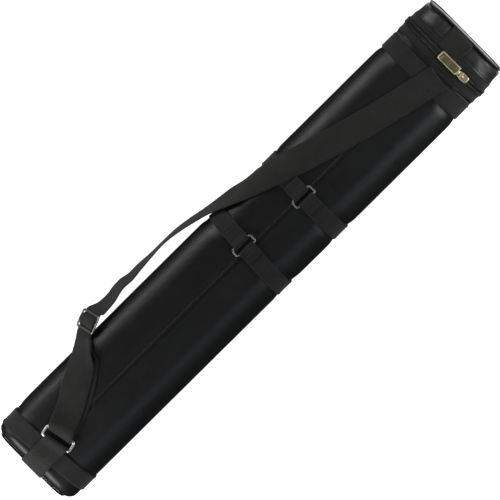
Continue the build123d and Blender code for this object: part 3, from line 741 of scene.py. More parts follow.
def mid_band(name, xc, half, deg, yc, lap_up, lap_dn, node):
    lr = RW + 0.14 + 0.85
    oc = 3.35

    def end(sgn, lap):
        yb = yc + sgn * BAR_Y
        pts = [(yb + sgn * lap, 2.62), (yb + sgn * (lap - 5), 2.62), (yb + sgn * 9.0, 2.7), (yb + sgn * 5.2, 3.6), (yb + sgn * 2.6, 5.1)]
        for an in (75, 110, 145, 180, 215, 250, 275):
            q = math.radians(an)
            pts.append((yb + sgn * lr * math.cos(q), oc + lr * math.sin(q)))
        pts += [(yb + sgn * 3.6, 0.9), (yb + sgn * 8.0, 0.88)]
        return pts
    up = end(1, lap_up)
    dn = end(-1, lap_dn)
    a_mid = np.arange(yc + BAR_Y + 14, 2 * A5 + yc - BAR_Y - 14, 4.0)
    al = [p[0] for p in up] + list(a_mid) + [p[0] + 2 * A5 for p in dn[::-1]]
    ol = [p[1] for p in up] + [0.88] * len(a_mid) + [p[1] for p in dn[::-1]]
    rows = []
    for a, o in zip(al, ol):
        aw = a if a <= A5 else a - 2 * A5
        yy = float(sect(np.array([aw]), 0.0)[0][0])
        mm = xc - yy * math.tan(math.radians(deg)) + np.linspace(-half, half, 5)
        rows.append(on(mm, np.full(5, aw), np.full(5, o)))
    ob, G, N, s = webbing(name, np.array(rows), 2 * half, t=1.65, step=2.2, nw=13, mat=MAT_BAND, replaces=(node,), flip=-1.0)
    fix_normals(ob)
    # stitches: two rows across each fold, a box on the lap, and both long edges
    t = math.tan(math.radians(deg))
    for sgn, lap in ((1, lap_up), (-1, lap_dn)):
        yb = yc + sgn * BAR_Y
        for aa0 in (yb + sgn * 8.6, yb + sgn * (lap - 1.6)):
            mm = np.linspace(xc - aa0 * t - half + 1.8, xc - aa0 * t + half - 1.8, 12)
            stitch_line(ST, on(mm, np.full(12, aa0), 3.42), normals_at(mm, np.full(12, aa0)), pitch=3.2, r=0.36)
        for k in (-half + 1.8, half - 1.8):
            aa = np.linspace(yb + sgn * 9.5, yb + sgn * (lap - 2), 8)
            mm = xc - aa * t + k
            stitch_line(ST, on(mm, aa, 3.42), normals_at(mm, aa), pitch=3.4, r=0.36)
    for k in (-half + 1.7, half - 1.7):
        for lo, hi in ((yc + BAR_Y + lap_up + 1, A5), (-A5, yc - BAR_Y - lap_dn - 1)):
            aa = np.linspace(lo, hi, 160)
            yy = sect(aa, 0.0)[0]
            mm = xc - yy * t + k
            stitch_line(ST, on(mm, aa, 1.68), normals_at(mm, aa), pitch=3.6, r=0.34)
    return ob


mid_band("mid_band_a_webbing", -0.2, 12.4, -3.2, 9.0, 23.0, 18.0, "mid_band_a")
mid_band("mid_band_b_webbing", 103.6, 12.6, -0.8, -1.0, 21.0, 18.0, "mid_band_b")


# ------------------------------------------------------------------ wire rings
def rect_path(lx, ly, cr, n=10):
    pts = []
    for cx, cy, a0 in ((lx / 2 - cr, ly / 2 - cr, 0), (-lx / 2 + cr, ly / 2 - cr, 90), (-lx / 2 + cr, -ly / 2 + cr, 180), (lx / 2 - cr, -ly / 2 + cr, 270)):
        for i in range(n + 1):
            q = math.radians(a0 + 90.0 * i / n)
            pts.append((cx + cr * math.cos(q), cy + cr * math.sin(q), 0.0))
    # extra points along the straights
    out = []
    for i in range(len(pts)):
        p, q = np.array(pts[i]), np.array(pts[(i + 1) % len(pts)])
        d = np.linalg.norm(q - p)
        k = max(1, int(d / 3.0))
        for j in range(k):
            out.append(p + (q - p) * j / k)
    return np.array(out)


def wire_ring(name, c, deg, lx, ly, r, cr, node, mat=None, slot="ring_steel"):
    p = rect_path(lx, ly, cr)
    q = math.radians(deg)
    rot = np.array([[math.cos(q), -math.sin(q), 0], [math.sin(q), math.cos(q), 0], [0, 0, 1]])
    p = p @ rot.T + np.array(c)
    n = len(p)
    rr = np.full(n, r)
    k0 = n // 5
    for d in range(-1, 2):          # the butt weld in the wire
        rr[(k0 + d) % n] *= 1.06 if d == 0 else 1.02
    v, f = tube_mesh(p, rr, k=14, closed=True, up=(0, 0, 1.0))
    ob = new_obj(name, v, f, mat=mat or MAT_RING, body="body", slot=slot, replaces=(node,))
    fix_normals(ob)
    return ob


cz = lambda x, a: float(crown(np.array([x]), np.array([a]))[0])
wire_ring("ring_a_wire", (-0.2 + 9.0 * math.tan(math.radians(3.2)), 9.0, F + 3.35 + cz(0, 9)), -3.2, 33.0, 2 * BAR_Y, RW, 3.0, "band_ring_a", mat=MAT_GUN, slot="adjuster_metal")
wire_ring("ring_b_wire", (103.6, -1.0, F + 3.35 + cz(103, 1)), -0.8, 33.0, 2 * BAR_Y, RW, 3.0, "band_ring_b", mat=MAT_GUN, slot="adjuster_metal")
RING_X, RING_Z, RING_R = -369.0, F + 6.1, 2.0
RING_PITCH, RING_SPAN, RING_TURN = 14.0, 44.0, 11.0
turn = math.radians(RING_TURN)
rc = (RING_X + RING_PITCH / 2 * math.cos(turn), RING_PITCH / 2 * math.sin(turn) - 1.0, RING_Z)
wire_ring("strap_ring_wire", rc, RING_TURN, RING_PITCH, RING_SPAN, RING_R, 3.0, "strap_ring")

# ------------------------------------------------------------------ end strap
lr_ = RING_R + 0.2 + BAND_T / 2


def cross_row(x, z, deg):
    q = math.radians(deg)
    return [(x - (k - 2.0) * math.sin(q), -2.0 + k * math.cos(q), z) for k in (-18.0, -9.0, 0.0, 9.0, 18.0)]


es = [cross_row(-392.0, F + 2.9, RING_TURN), cross_row(-384.0, F + 2.9, RING_TURN), cross_row(-376.0, F + 2.9, RING_TURN)]
es += [cross_row(RING_X + lr_ * math.cos(math.radians(a)), RING_Z + lr_ * math.sin(math.radians(a)), RING_TURN) for a in (-112, -90, -60, -25, 10, 45, 80, 105)]
es += [cross_row(*p) for p in ((-374.5, F + 7.2, 11), (-379.5, F + 5.1, 10), (-388.0, F + 4.8, 8.5), (-396.0, F + 4.7, 7), (-402.6, F + 3.2, 4), (-407.0, F + 0.4, 2),
                               (-411.8, F - 2.4, 0), (-415.8, F - 6.4, 0), (-418.6, F - 10.5, 0), (-419.1, F - 14.5, 0),
                               (-418.2, F - 19.0, 0), (-417.0, F - 26.0, 0), (-416.9, 46.0, 0), (-416.8, 26.0, 0))]
ob, G, N, s = webbing("end_strap_webbing", np.array(es), 36.0, t=1.7, step=1.6, nw=17, mat=MAT_WEB, replaces=("bottom_end_strap",), flip=1.0)
fix_normals(ob)


def surf_line(G, N, s0, s1, col, off, s, n=12):
    """points along a strap's column between arc lengths"""
    ss = np.linspace(s0, s1, n)
    p = np.stack([np.interp(ss, s, G[:, col, i]) for i in range(3)], -1)
    q = unit(np.stack([np.interp(ss, s, N[:, col, i]) for i in range(3)], -1))
    return p + q * off, q


def surf_cross(G, N, s0, s, off, c0=1, c1=-2):
    p = np.stack([[np.interp(s0, s, G[:, c, i]) for i in range(3)] for c in range(G.shape[1])])
    q = unit(np.stack([[np.interp(s0, s, N[:, c, i]) for i in range(3)] for c in range(G.shape[1])]))
    return (p + q * off)[c0:c1], q[c0:c1]


def box_x(bag, G, N, s, s0, s1, off, c0=1, c1=None):
    """boxed cross stitch"""
    c1 = G.shape[1] - 2 if c1 is None else c1
    for c in (c0, c1):
        p, q = surf_line(G, N, s0, s1, c, off, s)
        stitch_line(bag, p, q, pitch=3.2, r=0.36)
    for ss in (s0, s1):
        p, q = surf_cross(G, N, ss, s, off, c0, c1 + 1)
        stitch_line(bag, p, q, pitch=3.2, r=0.36)
    for fl in (0, 1):
        ss = np.linspace(s0 + 0.8, s1 - 0.8, 12)
        cc = np.linspace(c0, c1, 12) if fl else np.linspace(c1, c0, 12)
        pts, nn = [], []
        for a_, c_ in zip(ss, cc):
            i = int(min(c_, G.shape[1] - 2))
            fr = c_ - i
            g = G[:, i] * (1 - fr) + G[:, i + 1] * fr
            h = N[:, i] * (1 - fr) + N[:, i + 1] * fr
            pts.append([np.interp(a_, s, g[:, k]) for k in range(3)])
            nn.append([np.interp(a_, s, h[:, k]) for k in range(3)])
        nn = unit(np.array(nn))
        stitch_line(bag, np.array(pts) + nn * off, nn, pitch=3.2, r=0.34)


def outward(G, N):
    """sign that makes the strap's outer side positive (away from the case's axis)"""
    c = G - np.array([0, 0, ZC])
    c[..., 0] = 0
    return np.sign(np.mean(np.sum(N * c, -1)))


# stitches where the end strap crosses the bottom band
i0 = int(np.argmin(np.abs(G[:, 8, 0] + 379) + 100 * (G[:, 8, 2] < F + 4)))
i1 = int(np.argmin(np.abs(G[:, 8, 0] + 394) + 100 * (G[:, 8, 2] < F + 3.5)))
sg = 1.0 if N[i0, 8, 2] > 0 else -1.0
box_x(ST, G, N, s, min(s[i0], s[i1]), max(s[i0], s[i1]), 0.86 * sg)

# ------------------------------------------------------------------ shoulder strap
SW, STT = 37.0, 1.7


def lying(u, a, deg, off, n=5, w=SW):
    t = math.radians(deg)
    k = np.linspace(-0.5, 0.5, n) * w
    return on(u - 407.0 - k * math.sin(t), a + k * math.cos(t), np.full(n, off)).tolist()


def hanging(u, y, z, deg, tilt, n=5, w=SW):
    t, g = math.radians(deg), math.radians(tilt)
    wv_ = np.array([-math.sin(t) * math.cos(g), math.cos(t) * math.cos(g), -math.sin(g)])
    k = np.linspace(-0.5, 0.5, n) * w
    return (np.array([u - 407.0, y, z]) + k[:, None] * wv_).tolist()


ta, ga = math.radians(21.0), math.radians(54.0)
a_d = np.array([math.cos(ta), math.sin(ta), 0.0])
a_w = np.array([-math.sin(ta) * math.cos(ga), math.cos(ta) * math.cos(ga), -math.sin(ga)])
a_n = np.cross(a_d, a_w)
a_c = np.array([182.5 - 407.0, 84.9, 61.5])


def at_adj(s, nrm, n=5, w=SW):
    k = np.linspace(-0.5, 0.5, n) * w
    return (a_c + a_d * s + a_n * nrm + k[:, None] * a_w).tolist()


far = (RING_X + RING_PITCH * math.cos(turn), RING_PITCH * math.sin(turn) - 1.0)
fr = RING_R + 0.25 + STT / 2


def loop_row(deg, r=fr, n=5, w=SW):
    q = math.radians(deg)
    k = np.linspace(-0.5, 0.5, n) * w
    return np.stack([far[0] + r * math.cos(q) * math.cos(turn) - k * math.sin(turn), far[1] + r * math.cos(q) * math.sin(turn) + k * math.cos(turn), np.full(n, RING_Z + r * math.sin(q))], -1).tolist()


rows = []
rows += [at_adj(6.0, -2.2), at_adj(-2.0, -2.2), at_adj(-9.0, -4.4), at_adj(-15.0, -4.6)]
rows += [hanging(160.0, 67.8, 71.2, 38, 54), hanging(152.0, 60.5, 80.6, 41, 44)]
rows += [lying(143.5, 49.0, 40, 1.6), lying(136, 42.6, 39, 1.4), lying(128, 36.4, 37, 1.3), lying(121, 31.3, 35, 1.3), lying(106, 22.0, 30, 1.3),
         lying(91, 15.0, 24, 1.3), lying(78, 10.4, 19, 1.3), lying(66, 6.8, 15, 1.9)]
rows += [loop_row(a) for a in (-80, -110, -145, 180, 150)]
rows += [lying(51.6, 2.6, 13, 10.6), lying(57.6, 6.2, 17, 13.0), lying(61.6, 8.2, 19, 12.6), lying(68.0, 11.0, 21, 8.6), lying(77, 14.6, 23, 5.2), lying(91, 21.0, 28, 3.8), lying(106, 30.0, 32, 3.8),
         lying(121, 38.8, 34, 3.8), lying(134, 47.2, 37, 4.0)]
rows += [hanging(147.5, 59.6, 84.0, 39, 42), hanging(159.0, 69.6, 75.2, 37, 52)]
rows += [at_adj(-15.0, -2.2), at_adj(-9.5, -2.3), at_adj(-2.7, 2.35), at_adj(2.7, 2.35), at_adj(9.5, -2.3), at_adj(15.0, -2.2)]
rows += [hanging(u, y, z, d, tl) for u, y, z, d, tl in [
    (206, 85.0, 59.9, -6, 61), (216, 84.6, 57.8, -4, 64), (228, 85.4, 55.4, 5, 66), (240, 88.0, 52.8, 8, 68),
    (250, 88.8, 50.6, -4, 70), (264, 87.2, 47.4, 0, 73), (282, 88.2, 43.6, 2, 76), (302, 88.4, 40.4, 1, 81),
    (326, 89.1, 38.8, -2, 84), (350, 87.7, 40.2, -6, 81), (376, 83.4, 45.2, -9, 78), (398, 78.6, 51.8, -13, 76),
    (414, 74.8, 58.6, -17, 71), (428, 71.0, 65.6, -19, 64), (442, 67.3, 70.7, -20, 57)]]
rows += [lying(463, 67.0, -20, 1.6), lying(478, 61.2, -19, 1.7), lying(487, 58.2, -18, 2.2), lying(495, 55.6, -18, 3.3),
         lying(503, 52.9, -18, 3.3), lying(514, 49.3, -18, 3.3), lying(526, 45.2, -18, 3.2), lying(538, 40.8, -17, 1.9),
         lying(552, 36.0, -16, 1.5), lying(566, 31.7, -15.5, 1.4), lying(580, 27.6, -15, 1.4),
         lying(600, 22.0, -14.5, 1.3), lying(625, 15.4, -14.2, 1.3), lying(650, 8.8, -14, 1.3), lying(675, 3.0, -13.5, 1.3), lying(700, -2.8, -13, 1.3),
         lying(714, -5.8, -12.5, 1.6), lying(722, -7.5, -12, 3.0), lying(740, -11.4, -12, 3.0), lying(753.5, -14.4, -12, 3.0)]
strap, SG, SN, SS = webbing("shoulder_strap_webbing", np.array(rows), SW, t=STT, step=1.8, nw=17, mat=MAT_WEB, replaces=("shoulder_strap",))
fix_normals(strap)


def side_at(G, N, s, s0, want):
    """+1 or -1 so that the normal at s0 points roughly along want"""
    n = np.array([np.interp(s0, s, N[:, G.shape[1] // 2, i]) for i in range(3)])
    return 1.0 if np.dot(n, want) > 0 else -1.0


# sewn end on the upper band, and the fold sewn under the adjuster
sg = side_at(SG, SN, SS, SS[-1] - 12, np.array([0, 0, 1.0]))
box_x(ST, SG, SN, SS, SS[-1] - 27.0, SS[-1] - 3.0, 0.88 * sg, 1, 15)
p, q = surf_cross(SG, SN, SS[-1] - 1.2, SS, 0.88 * sg, 0, 17)
stitch_line(ST, p, q * sg, pitch=2.4, r=0.3)

# ------------------------------------------------------------------ adjuster
BAGA = Bag()


def loc(ps):
    ps = np.asarray(ps, float)
    return a_c + ps[:, :1] * a_d + ps[:, 1:2] * a_w + ps[:, 2:3] * a_n


path = rect_path(27.0 - 3.4, 45.5 - 3.4, 3.4, n=9)
v, f = tube_mesh(path, 1.15, 1.68, k=16, closed=True, up=(0, 0, 1.0), power=2.7)
add_poly(BAGA, loc(v), f)
bar = np.stack([np.linspace(0, 0, 24), np.linspace(-20.9, 20.9, 24), np.zeros(24)], -1)
wdt = 2.05 + 0.25 * (np.abs(np.linspace(-1, 1, 24)) ** 6)
v, f = tube_mesh(bar, 1.05, wdt, k=16, up=(0, 0, 1.0), power=2.7)
add_poly(BAGA, loc(v), f)
adj = BAGA.obj("adjuster_slide", mat=MAT_ADJ, slot="adjuster_metal", replaces=("strap_adjuster",))
fix_normals(adj)
# short end's stitches, seen beyond the bar on the under side
sg = side_at(SG, SN, SS, 14.0, a_n)
for dd in (11.5, 14.5):
    p, q = surf_cross(SG, SN, dd, SS, -0.88 * sg, 1, 16)
    stitch_line(ST, p, -q * sg, pitch=3.0, r=0.34)

# ------------------------------------------------------------------ zip
FRONT_LO = 6.2
aa_all = np.linspace(-A5, A5, 1400)
zz = sect(aa_all, 0.0)[1]
A_FRONT = float(np.max(aa_all[zz >= FRONT_LO]))


def tape(name, x0, x1, o0, o1, body, node, cut=None):
    xs_ = np.linspace(x0, x1, 9)
    aa = np.linspace(-A_FRONT, A_FRONT, 420)
    X_, A_ = np.meshgrid(xs_, aa, indexing="ij")
    X_, A_ = X_.T, A_.T
    sag = 0.12 * np.sin(A_ / 5.3) * np.exp(-((X_ - (x0 + x1) / 2) / 3.5) ** 2)
    top = on(X_, A_, o1 + sag * 0.6)
    bot = on(X_, A_, o0 + sag * 0.2)
    if cut:
        keep = ~((aa > cut[0]) & (aa < cut[1]))
    n, k = top.shape[:2]
    ring = np.concatenate([top, bot[:, ::-1]], axis=1)
    uvr = np.stack(np.broadcast_arrays(aa[:, None], np.concatenate([xs_, xs_[::-1]])[None]), -1).reshape(-1, 2) * MM
    f = [tuple(q) for q in gfaces(n, 2 * k, cv=True)]
    if cut:
        idx = [i for i in range(n - 1) if keep[i] and keep[i + 1]]
        ok = set(idx)
        f = [q for q in f if (min(q) // (2 * k)) in ok]
        ends = [0, n - 1] + [i for i in range(1, n) if (i - 1 in ok) != (i in ok) and i < n - 1]
    else:
        ends = [0, n - 1]
    for e in ends:
        f.append(tuple(e * 2 * k + j for j in range(2 * k)))
    ob = new_obj(name, ring.reshape(-1, 3), f, mat=MAT_TAPE, body=body, slot="zip_tape", replaces=(node,), uv=uvr)
    fix_normals(ob)
    return ob


tape("zip_tape_body_weave", 352.6, 364.6, -0.95, -0.2, "body", "zip_tape_body")
tape("zip_tape_lid_weave", 374.5, 385.4, -1.3, -0.45, "lid", "zip_tape_lid", cut=(-17.4, 19.4))


def coil(name, xc, sgn, body, node):
    """one continuous helix of nylon round its filler cord"""
    turns = 2 * A_FRONT / 1.75
    n = int(turns * 12)
    a_ = np.linspace(-A_FRONT, A_FRONT, n)
    ph = np.linspace(0, 2 * math.pi * turns, n)
    x = xc + 1.95 * np.cos(ph) * sgn
    o = 0.32 + 0.92 * np.sign(np.sin(ph)) * np.abs(np.sin(ph)) ** 0.75
    path = on(x, a_, o)
    bag = Bag()
    p = path
    t = unit(np.gradient(p, axis=0))
    nn = normals_at(np.full(n, xc), a_)
    nn = unit(nn - t * np.sum(nn * t, -1, keepdims=True))
    bb = np.cross(t, nn)
    k = 7
    an = np.linspace(0, 2 * math.pi, k, endpoint=False)
    head = 0.5 + 0.14 * np.clip(-np.cos(ph) * -1, 0, 1) ** 4
    v = p[:, None] + nn[:, None] * (np.cos(an)[None, :, None] * head[:, None, None]) + bb[:, None] * (np.sin(an)[None, :, None] * head[:, None, None] * 0.95)
    f = [tuple(q) for q in gfaces(n, k, cv=True)]
    f.append(tuple(range(k)))
    f.append(tuple((n - 1) * k + i for i in range(k)))
    add_poly(bag, v.reshape(-1, 3), f)
    m = 700
    a2 = np.linspace(-A_FRONT, A_FRONT, m)
    v, f = tube_mesh(on(np.full(m, xc), a2, np.full(m, 0.3)), 0.62, 1.55, k=10, up=None)
    add_poly(bag, v, f)
    # woven carrier under the coil
    xs_ = np.linspace(xc - 2.4, xc + 2.4, 5)
    X_, A_ = np.meshgrid(xs_, a2, indexing="xy")
    top, bot = on(X_, A_, -0.7), on(X_, A_, -1.5)
    ring = np.concatenate([top, bot[:, ::-1]], axis=1)
    f = [tuple(q) for q in gfaces(m, 10, cv=True)] + [tuple(range(10)), tuple((m - 1) * 10 + j for j in range(10))]
    add_poly(bag, ring.reshape(-1, 3), f)
    ob = bag.obj(name, mat=MAT_COIL, body=body, slot="zip_coil", replaces=(node,))
    fix_normals(ob)
    return ob


coil("zip_coil_body_nylon", 366.95, 1, "body", "zip_teeth_body")
coil("zip_coil_lid_nylon", 372.05, -1, "lid", "zip_teeth_lid")
af = np.linspace(-A_FRONT + 2, A_FRONT - 2, 700)
for xx, bag, kk in ((355.0, ST, "body"), (362.7, ST, "body"), (376.3, STL, "lid"), (383.2, STL, "lid")):
    for lo, hi in ((-A_FRONT + 2, -18.4), (20.4, A_FRONT - 2)) if kk == "lid" else ((-A_FRONT + 2, A_FRONT - 2),):
        aa = np.linspace(lo, hi, 300)
        o_ = -0.12 if kk == "body" else -0.38
        stitch_line(bag, on(np.full(300, xx), aa, o_), normals_at(np.full(300, xx), aa), pitch=3.3, r=0.28, ln=2.6)

# zip end stops: folded metal-look nylon ends
give("zip_stops", MAT_COIL)
md = frame["nodes"]["zip_stops"].modifiers.new("soft", "BEVEL")
md.width, md.segments = 0.0005, 3

# ------------------------------------------------------------------ slider, link, tag
SL_Y = -37.0
Z_TEETH = F + 1.6
z0s = Z_TEETH + 0.4
PT = z0s + 1.7
NEAR_Y, PULL_Z = SL_Y + 2.4, PT + 1.1
FAR_Y = NEAR_Y + 5.6


def rr(w, h, r, n=7, cx=0.0, cy=0.0):
    out = []
    for sx, sy, a0 in ((1, 1, 0), (-1, 1, 90), (-1, -1, 180), (1, -1, 270)):
        for i in range(n + 1):
            q = math.radians(a0 + 90.0 * i / n)
            out.append((cx + sx * (w / 2 - r) + r * math.cos(q), cy + sy * (h / 2 - r) + r * math.sin(q)))
    return np.array(out)


def stack(bag, outlines, zs):
    """closed solid lofted through outlines of the same count at heights zs"""
    n = len(outlines[0])
    v = np.concatenate([np.column_stack([o, np.full(n, z)]) for o, z in zip(outlines, zs)])
    f = [tuple(q) for q in gfaces(len(zs), n, cv=True)] + [tuple(range(n)), tuple((len(zs) - 1) * n + j for j in range(n))]
    add_poly(bag, v, f)


B = Bag()


def slider_outline(g):
    p = rr(11.0 - 2 * g, 14.2 - 2 * g, max(0.4, 3.0 - g), n=9, cx=X_PART, cy=SL_Y - 1.4)
    t = (p[:, 1] - (SL_Y - 8.5)) / 14.2
    k = 0.84 + 0.16 * smooth(0.0, 0.62, t)
    p[:, 0] = X_PART + (p[:, 0] - X_PART) * k
    return p


stack(B, [slider_outline(0.5), slider_outline(0.12), slider_outline(0.0), slider_outline(0.0), slider_outline(0.18), slider_outline(0.6), slider_outline(1.3)],
      [z0s, z0s + 0.12, z0s + 0.4, z0s + 1.0, z0s + 1.35, z0s + 1.58, z0s + 1.7])
br = np.array([(NEAR_Y + 1.9, PT - 0.4), (NEAR_Y + 1.95, PT + 0.9), (NEAR_Y + 1.5, PULL_Z + 1.35), (NEAR_Y + 0.4, PULL_Z + 1.8), (NEAR_Y - 1.4, PULL_Z + 1.8), (NEAR_Y - 2.6, PULL_Z + 1.3), (NEAR_Y - 3.3, PT + 0.6), (NEAR_Y - 3.6, PT - 0.4)])
br3 = catmull(np.stack([np.full(len(br), X_PART), br[:, 0], br[:, 1]], -1)[:, None, :].repeat(3, 1), 0.4)[:, 1]
v, f = tube_mesh(br3, 0.62, 1.4, k=14, up=None, power=3.0)
t_, n_, b_ = frames(br3, False, None)
# keep the wide side along X
tt = unit(np.gradient(br3, axis=0))
bx = np.tile(np.array([1.0, 0, 0]), (len(br3), 1))
nx = np.cross(bx, tt)
an = np.linspace(0, 2 * math.pi, 14, endpoint=False)
cs, sn = np.sign(np.cos(an)) * np.abs(np.cos(an)) ** 0.6, np.sign(np.sin(an)) * np.abs(np.sin(an)) ** 0.6
v = (br3[:, None] + nx[:, None] * (cs * 0.62)[None, :, None] + bx[:, None] * (sn * 1.4)[None, :, None]).reshape(-1, 3)
f = [tuple(q) for q in gfaces(len(br3), 14, cv=True)] + [tuple(range(14)), tuple((len(br3) - 1) * 14 + j for j in range(14))]
add_poly(B, v, f)
ob = B.obj("slider_cast", mat=MAT_BRASS, body="slider", slot="brass", replaces=("zip_slider",), sharp=50)
fix_normals(ob)

p = rect_path(2 * 3.7, FAR_Y - NEAR_Y, 1.0, n=8) + np.array([X_PART, (NEAR_Y + FAR_Y) / 2, PULL_Z])
v, f = tube_mesh(p, 0.8, k=14, closed=True, up=(0, 0, 1.0))
ob = new_obj("pull_link_wire", v, f, mat=MAT_BRASS, body="pull_link", slot="brass", replaces=("pull_link",))
fix_normals(ob)

B = Bag()
T0, T1 = FAR_Y + 1.3, 6.5
tc, tx = (T0 + T1) / 2, X_PART + 0.6
tw, th = 13.0, T1 - T0
o = lambda g, r: rr(tw - 2 * g, th - 2 * g, r, n=8, cx=tx, cy=tc)
stack(B, [o(0.35, 1.0), o(0.08, 1.15), o(0.0, 1.2), o(0.0, 1.2), o(0.12, 1.1), o(0.42, 0.95), o(1.1, 0.8), o(1.32, 0.7), o(1.5, 0.6), o(1.6, 0.6)],
      [PULL_Z - 0.8, PULL_Z - 0.68, PULL_Z - 0.45, PULL_Z + 0.45, PULL_Z + 0.68, PULL_Z + 0.8, PULL_Z + 0.8, PULL_Z + 0.72, PULL_Z + 0.45, PULL_Z + 0.36])
# the sunk panel, in a darker, rougher brass, with plain raised ribs
BL = Bag()
nfx_, nfy_ = 16, 40
gx, gy = np.meshgrid(np.linspace(tx - tw / 2 + 1.62, tx + tw / 2 - 1.62, nfx_), np.linspace(tc - th / 2 + 1.62, tc + th / 2 - 1.62, nfy_), indexing="ij")
gz = PULL_Z + 0.375 + 0.03 * np.sin(gx * 5.1 + 0.7 * gy) * np.cos(gy * 3.7)
top_ = np.stack([gx, gy, gz], -1)
bot_ = np.stack([gx, gy, np.full_like(gx, PULL_Z + 0.3)], -1)
nn_ = nfx_ * nfy_
ff_ = [tuple(q_) for q_ in gfaces(nfx_, nfy_)] + [tuple(q_) for q_ in gfaces(nfx_, nfy_, base=nn_, flip=True)]
for i in range(nfx_ - 1):
    for jj in (0, nfy_ - 1):
        q_ = (i * nfy_ + jj, (i + 1) * nfy_ + jj, nn_ + (i + 1) * nfy_ + jj, nn_ + i * nfy_ + jj)
        ff_.append(q_ if jj else q_[::-1])
for jj in range(nfy_ - 1):
    for i in (0, nfx_ - 1):
        q_ = (i * nfy_ + jj, i * nfy_ + jj + 1, nn_ + i * nfy_ + jj + 1, nn_ + i * nfy_ + jj)
        ff_.append(q_[::-1] if i else q_)
add_poly(BL, np.concatenate([top_.reshape(-1, 3), bot_.reshape(-1, 3)]), ff_)
for i in range(11):
    yy = T0 + 3.4 + i * (th - 6.8) / 10
    xs_ = np.linspace(tx - 4.2, tx + 4.2, 12)
    pth = np.stack([xs_, np.full(12, yy), np.full(12, PULL_Z + 0.42)], -1)
    v, f = tube_mesh(pth, 0.24 * np.array([0.4, 0.9] + [1.0] * 8 + [0.9, 0.4]), 0.42, k=8, up=(0, 0, 1.0))
    add_poly(BL, v, f)
ob = BL.obj("pull_tag_field", mat=MAT_BRASS_LOW, body="pull_tag", slot="brass", sharp=45)
fix_normals(ob)
# knuckle: a rolled tube with a neck to the plate
k0 = 22
for r0, r1 in ((1.12, 1.75),):
    xs_ = np.array([-2.3, -2.15, 2.15, 2.3])
    ro = np.array([r1 - 0.15, r1, r1, r1 - 0.15])
    an = np.linspace(0, 2 * math.pi, k0, endpoint=False)
    outer_ = np.stack([np.repeat(X_PART + xs_, k0), np.concatenate([FAR_Y + r * np.cos(an) for r in ro]), np.concatenate([PULL_Z + r * np.sin(an) for r in ro])], -1)
    inner_ = np.stack([np.repeat(X_PART + xs_[::-1], k0), np.tile(FAR_Y + r0 * np.cos(an), 4), np.tile(PULL_Z + r0 * np.sin(an), 4)], -1)
    add_poly(B, np.concatenate([outer_, inner_]), [tuple(q) for q in gfaces(8, k0, cu=True, cv=True)])
nk = rr(4.4, 2.4, 0.3, n=3, cx=X_PART, cy=FAR_Y + 1.9)
stack(B, [nk, nk], [PULL_Z - 0.75, PULL_Z + 0.75])
ob = B.obj("pull_tag_plate", mat=MAT_BRASS, body="pull_tag", slot="brass", replaces=("pull_tag",), sharp=45)
fix_normals(ob)

# ------------------------------------------------------------------ lid
m_l1 = X_TOP - LID_R + LID_R * math.radians(85)
m_s = np.concatenate([[385.05, 385.3, 385.8, 386.6, 387.6, 388.4, 389.2, 390.2, 391.4, 392.8], np.arange(394.3, 402.0, 1.1), np.linspace(402.2, m_l1, 12)])
a_s2 = np.concatenate([np.linspace(-A5, -20, 90, endpoint=False), np.linspace(-20, 22, 40, endpoint=False), np.linspace(22, A5, 90, endpoint=False)])
Mg, Ag = np.meshgrid(m_s, a_s2, indexing="ij")
puff = 0.42 * wob(Mg * 3.0, Ag, 46.0, 21) * smooth(388, 396, Mg)
dent = -3.6 * np.exp(-(np.minimum(Mg - 409.5, 0) / 6.5) ** 2) * knock(Ag)
dent += -1.2 * np.exp(-((Mg - 404.5) / 2.6) ** 2) * np.exp(-((Ag - 58.0) / 5.0) ** 2)
dent += -0.9 * np.exp(-((Mg - 403.0) / 3.4) ** 2) * np.exp(-((Ag + 66.0) / 8.0) ** 2)
edgeS = -0.35 * (np.exp(-((Ag - 20.5) / 1.8) ** 2) + np.exp(-((Ag + 18.5) / 1.8) ** 2))
puff = puff - 1.5 * smooth(393, 407, Mg) * (1 - smooth(38, 50, np.abs(Ag)))
hem = 0.4 * smooth(385.1, 386.0, Mg) - 0.42 * np.exp(-((Mg - 388.4) / 0.7) ** 2) - 0.4 * smooth(386.0, 385.0, Mg)
outer = on(Mg, Ag, puff + dent + edgeS + hem, "lid")
inner = on(Mg, Ag, np.minimum(puff, 0) + dent - 0.95, "lid")
nm, na = Mg.shape
V = np.concatenate([outer.reshape(-1, 3), inner.reshape(-1, 3)])
Fc = [tuple(q) for q in gfaces(nm, na, cv=True)] + [tuple(q) for q in gfaces(nm, na, cv=True, base=nm * na, flip=True)]
for j in range(na):
    j2 = (j + 1) % na
    Fc.append((j, j2, nm * na + j2, nm * na + j))
    e = (nm - 1) * na
    Fc.append((e + j, e + j2, nm * na + e + j2, nm * na + e + j))
lidc = new_obj("lid_cover_skin", V, Fc, mat=MAT_LEATHER_END, body="lid", slot="leatherette", replaces=("lid_cover",))
fix_normals(lidc)
for lo, hi in ((-A5, -19.5), (21.5, A5)):
    aa = np.linspace(lo, hi, 300)
    stitch_line(STL, on(np.full(300, 388.4), aa, 0.02, "lid"), normals_at(np.full(300, 388.4), aa, "lid"), pitch=3.4)
lp = end_panel("lid_end", 409.5, L + LID_R - 1.0, 2.0, 1, ("lid_end_panel",), MAT_LEATHER_END, "lid", depth=1.9, seed=13, pinch=2.6)
piping_obj("lid_piping_cord", X_TOP + 1.5, L + LID_R - 2.2, 1.4, "lid", ("lid_piping",), wavy=0.45, sgn=1, bag=STL, pinch=2.6)

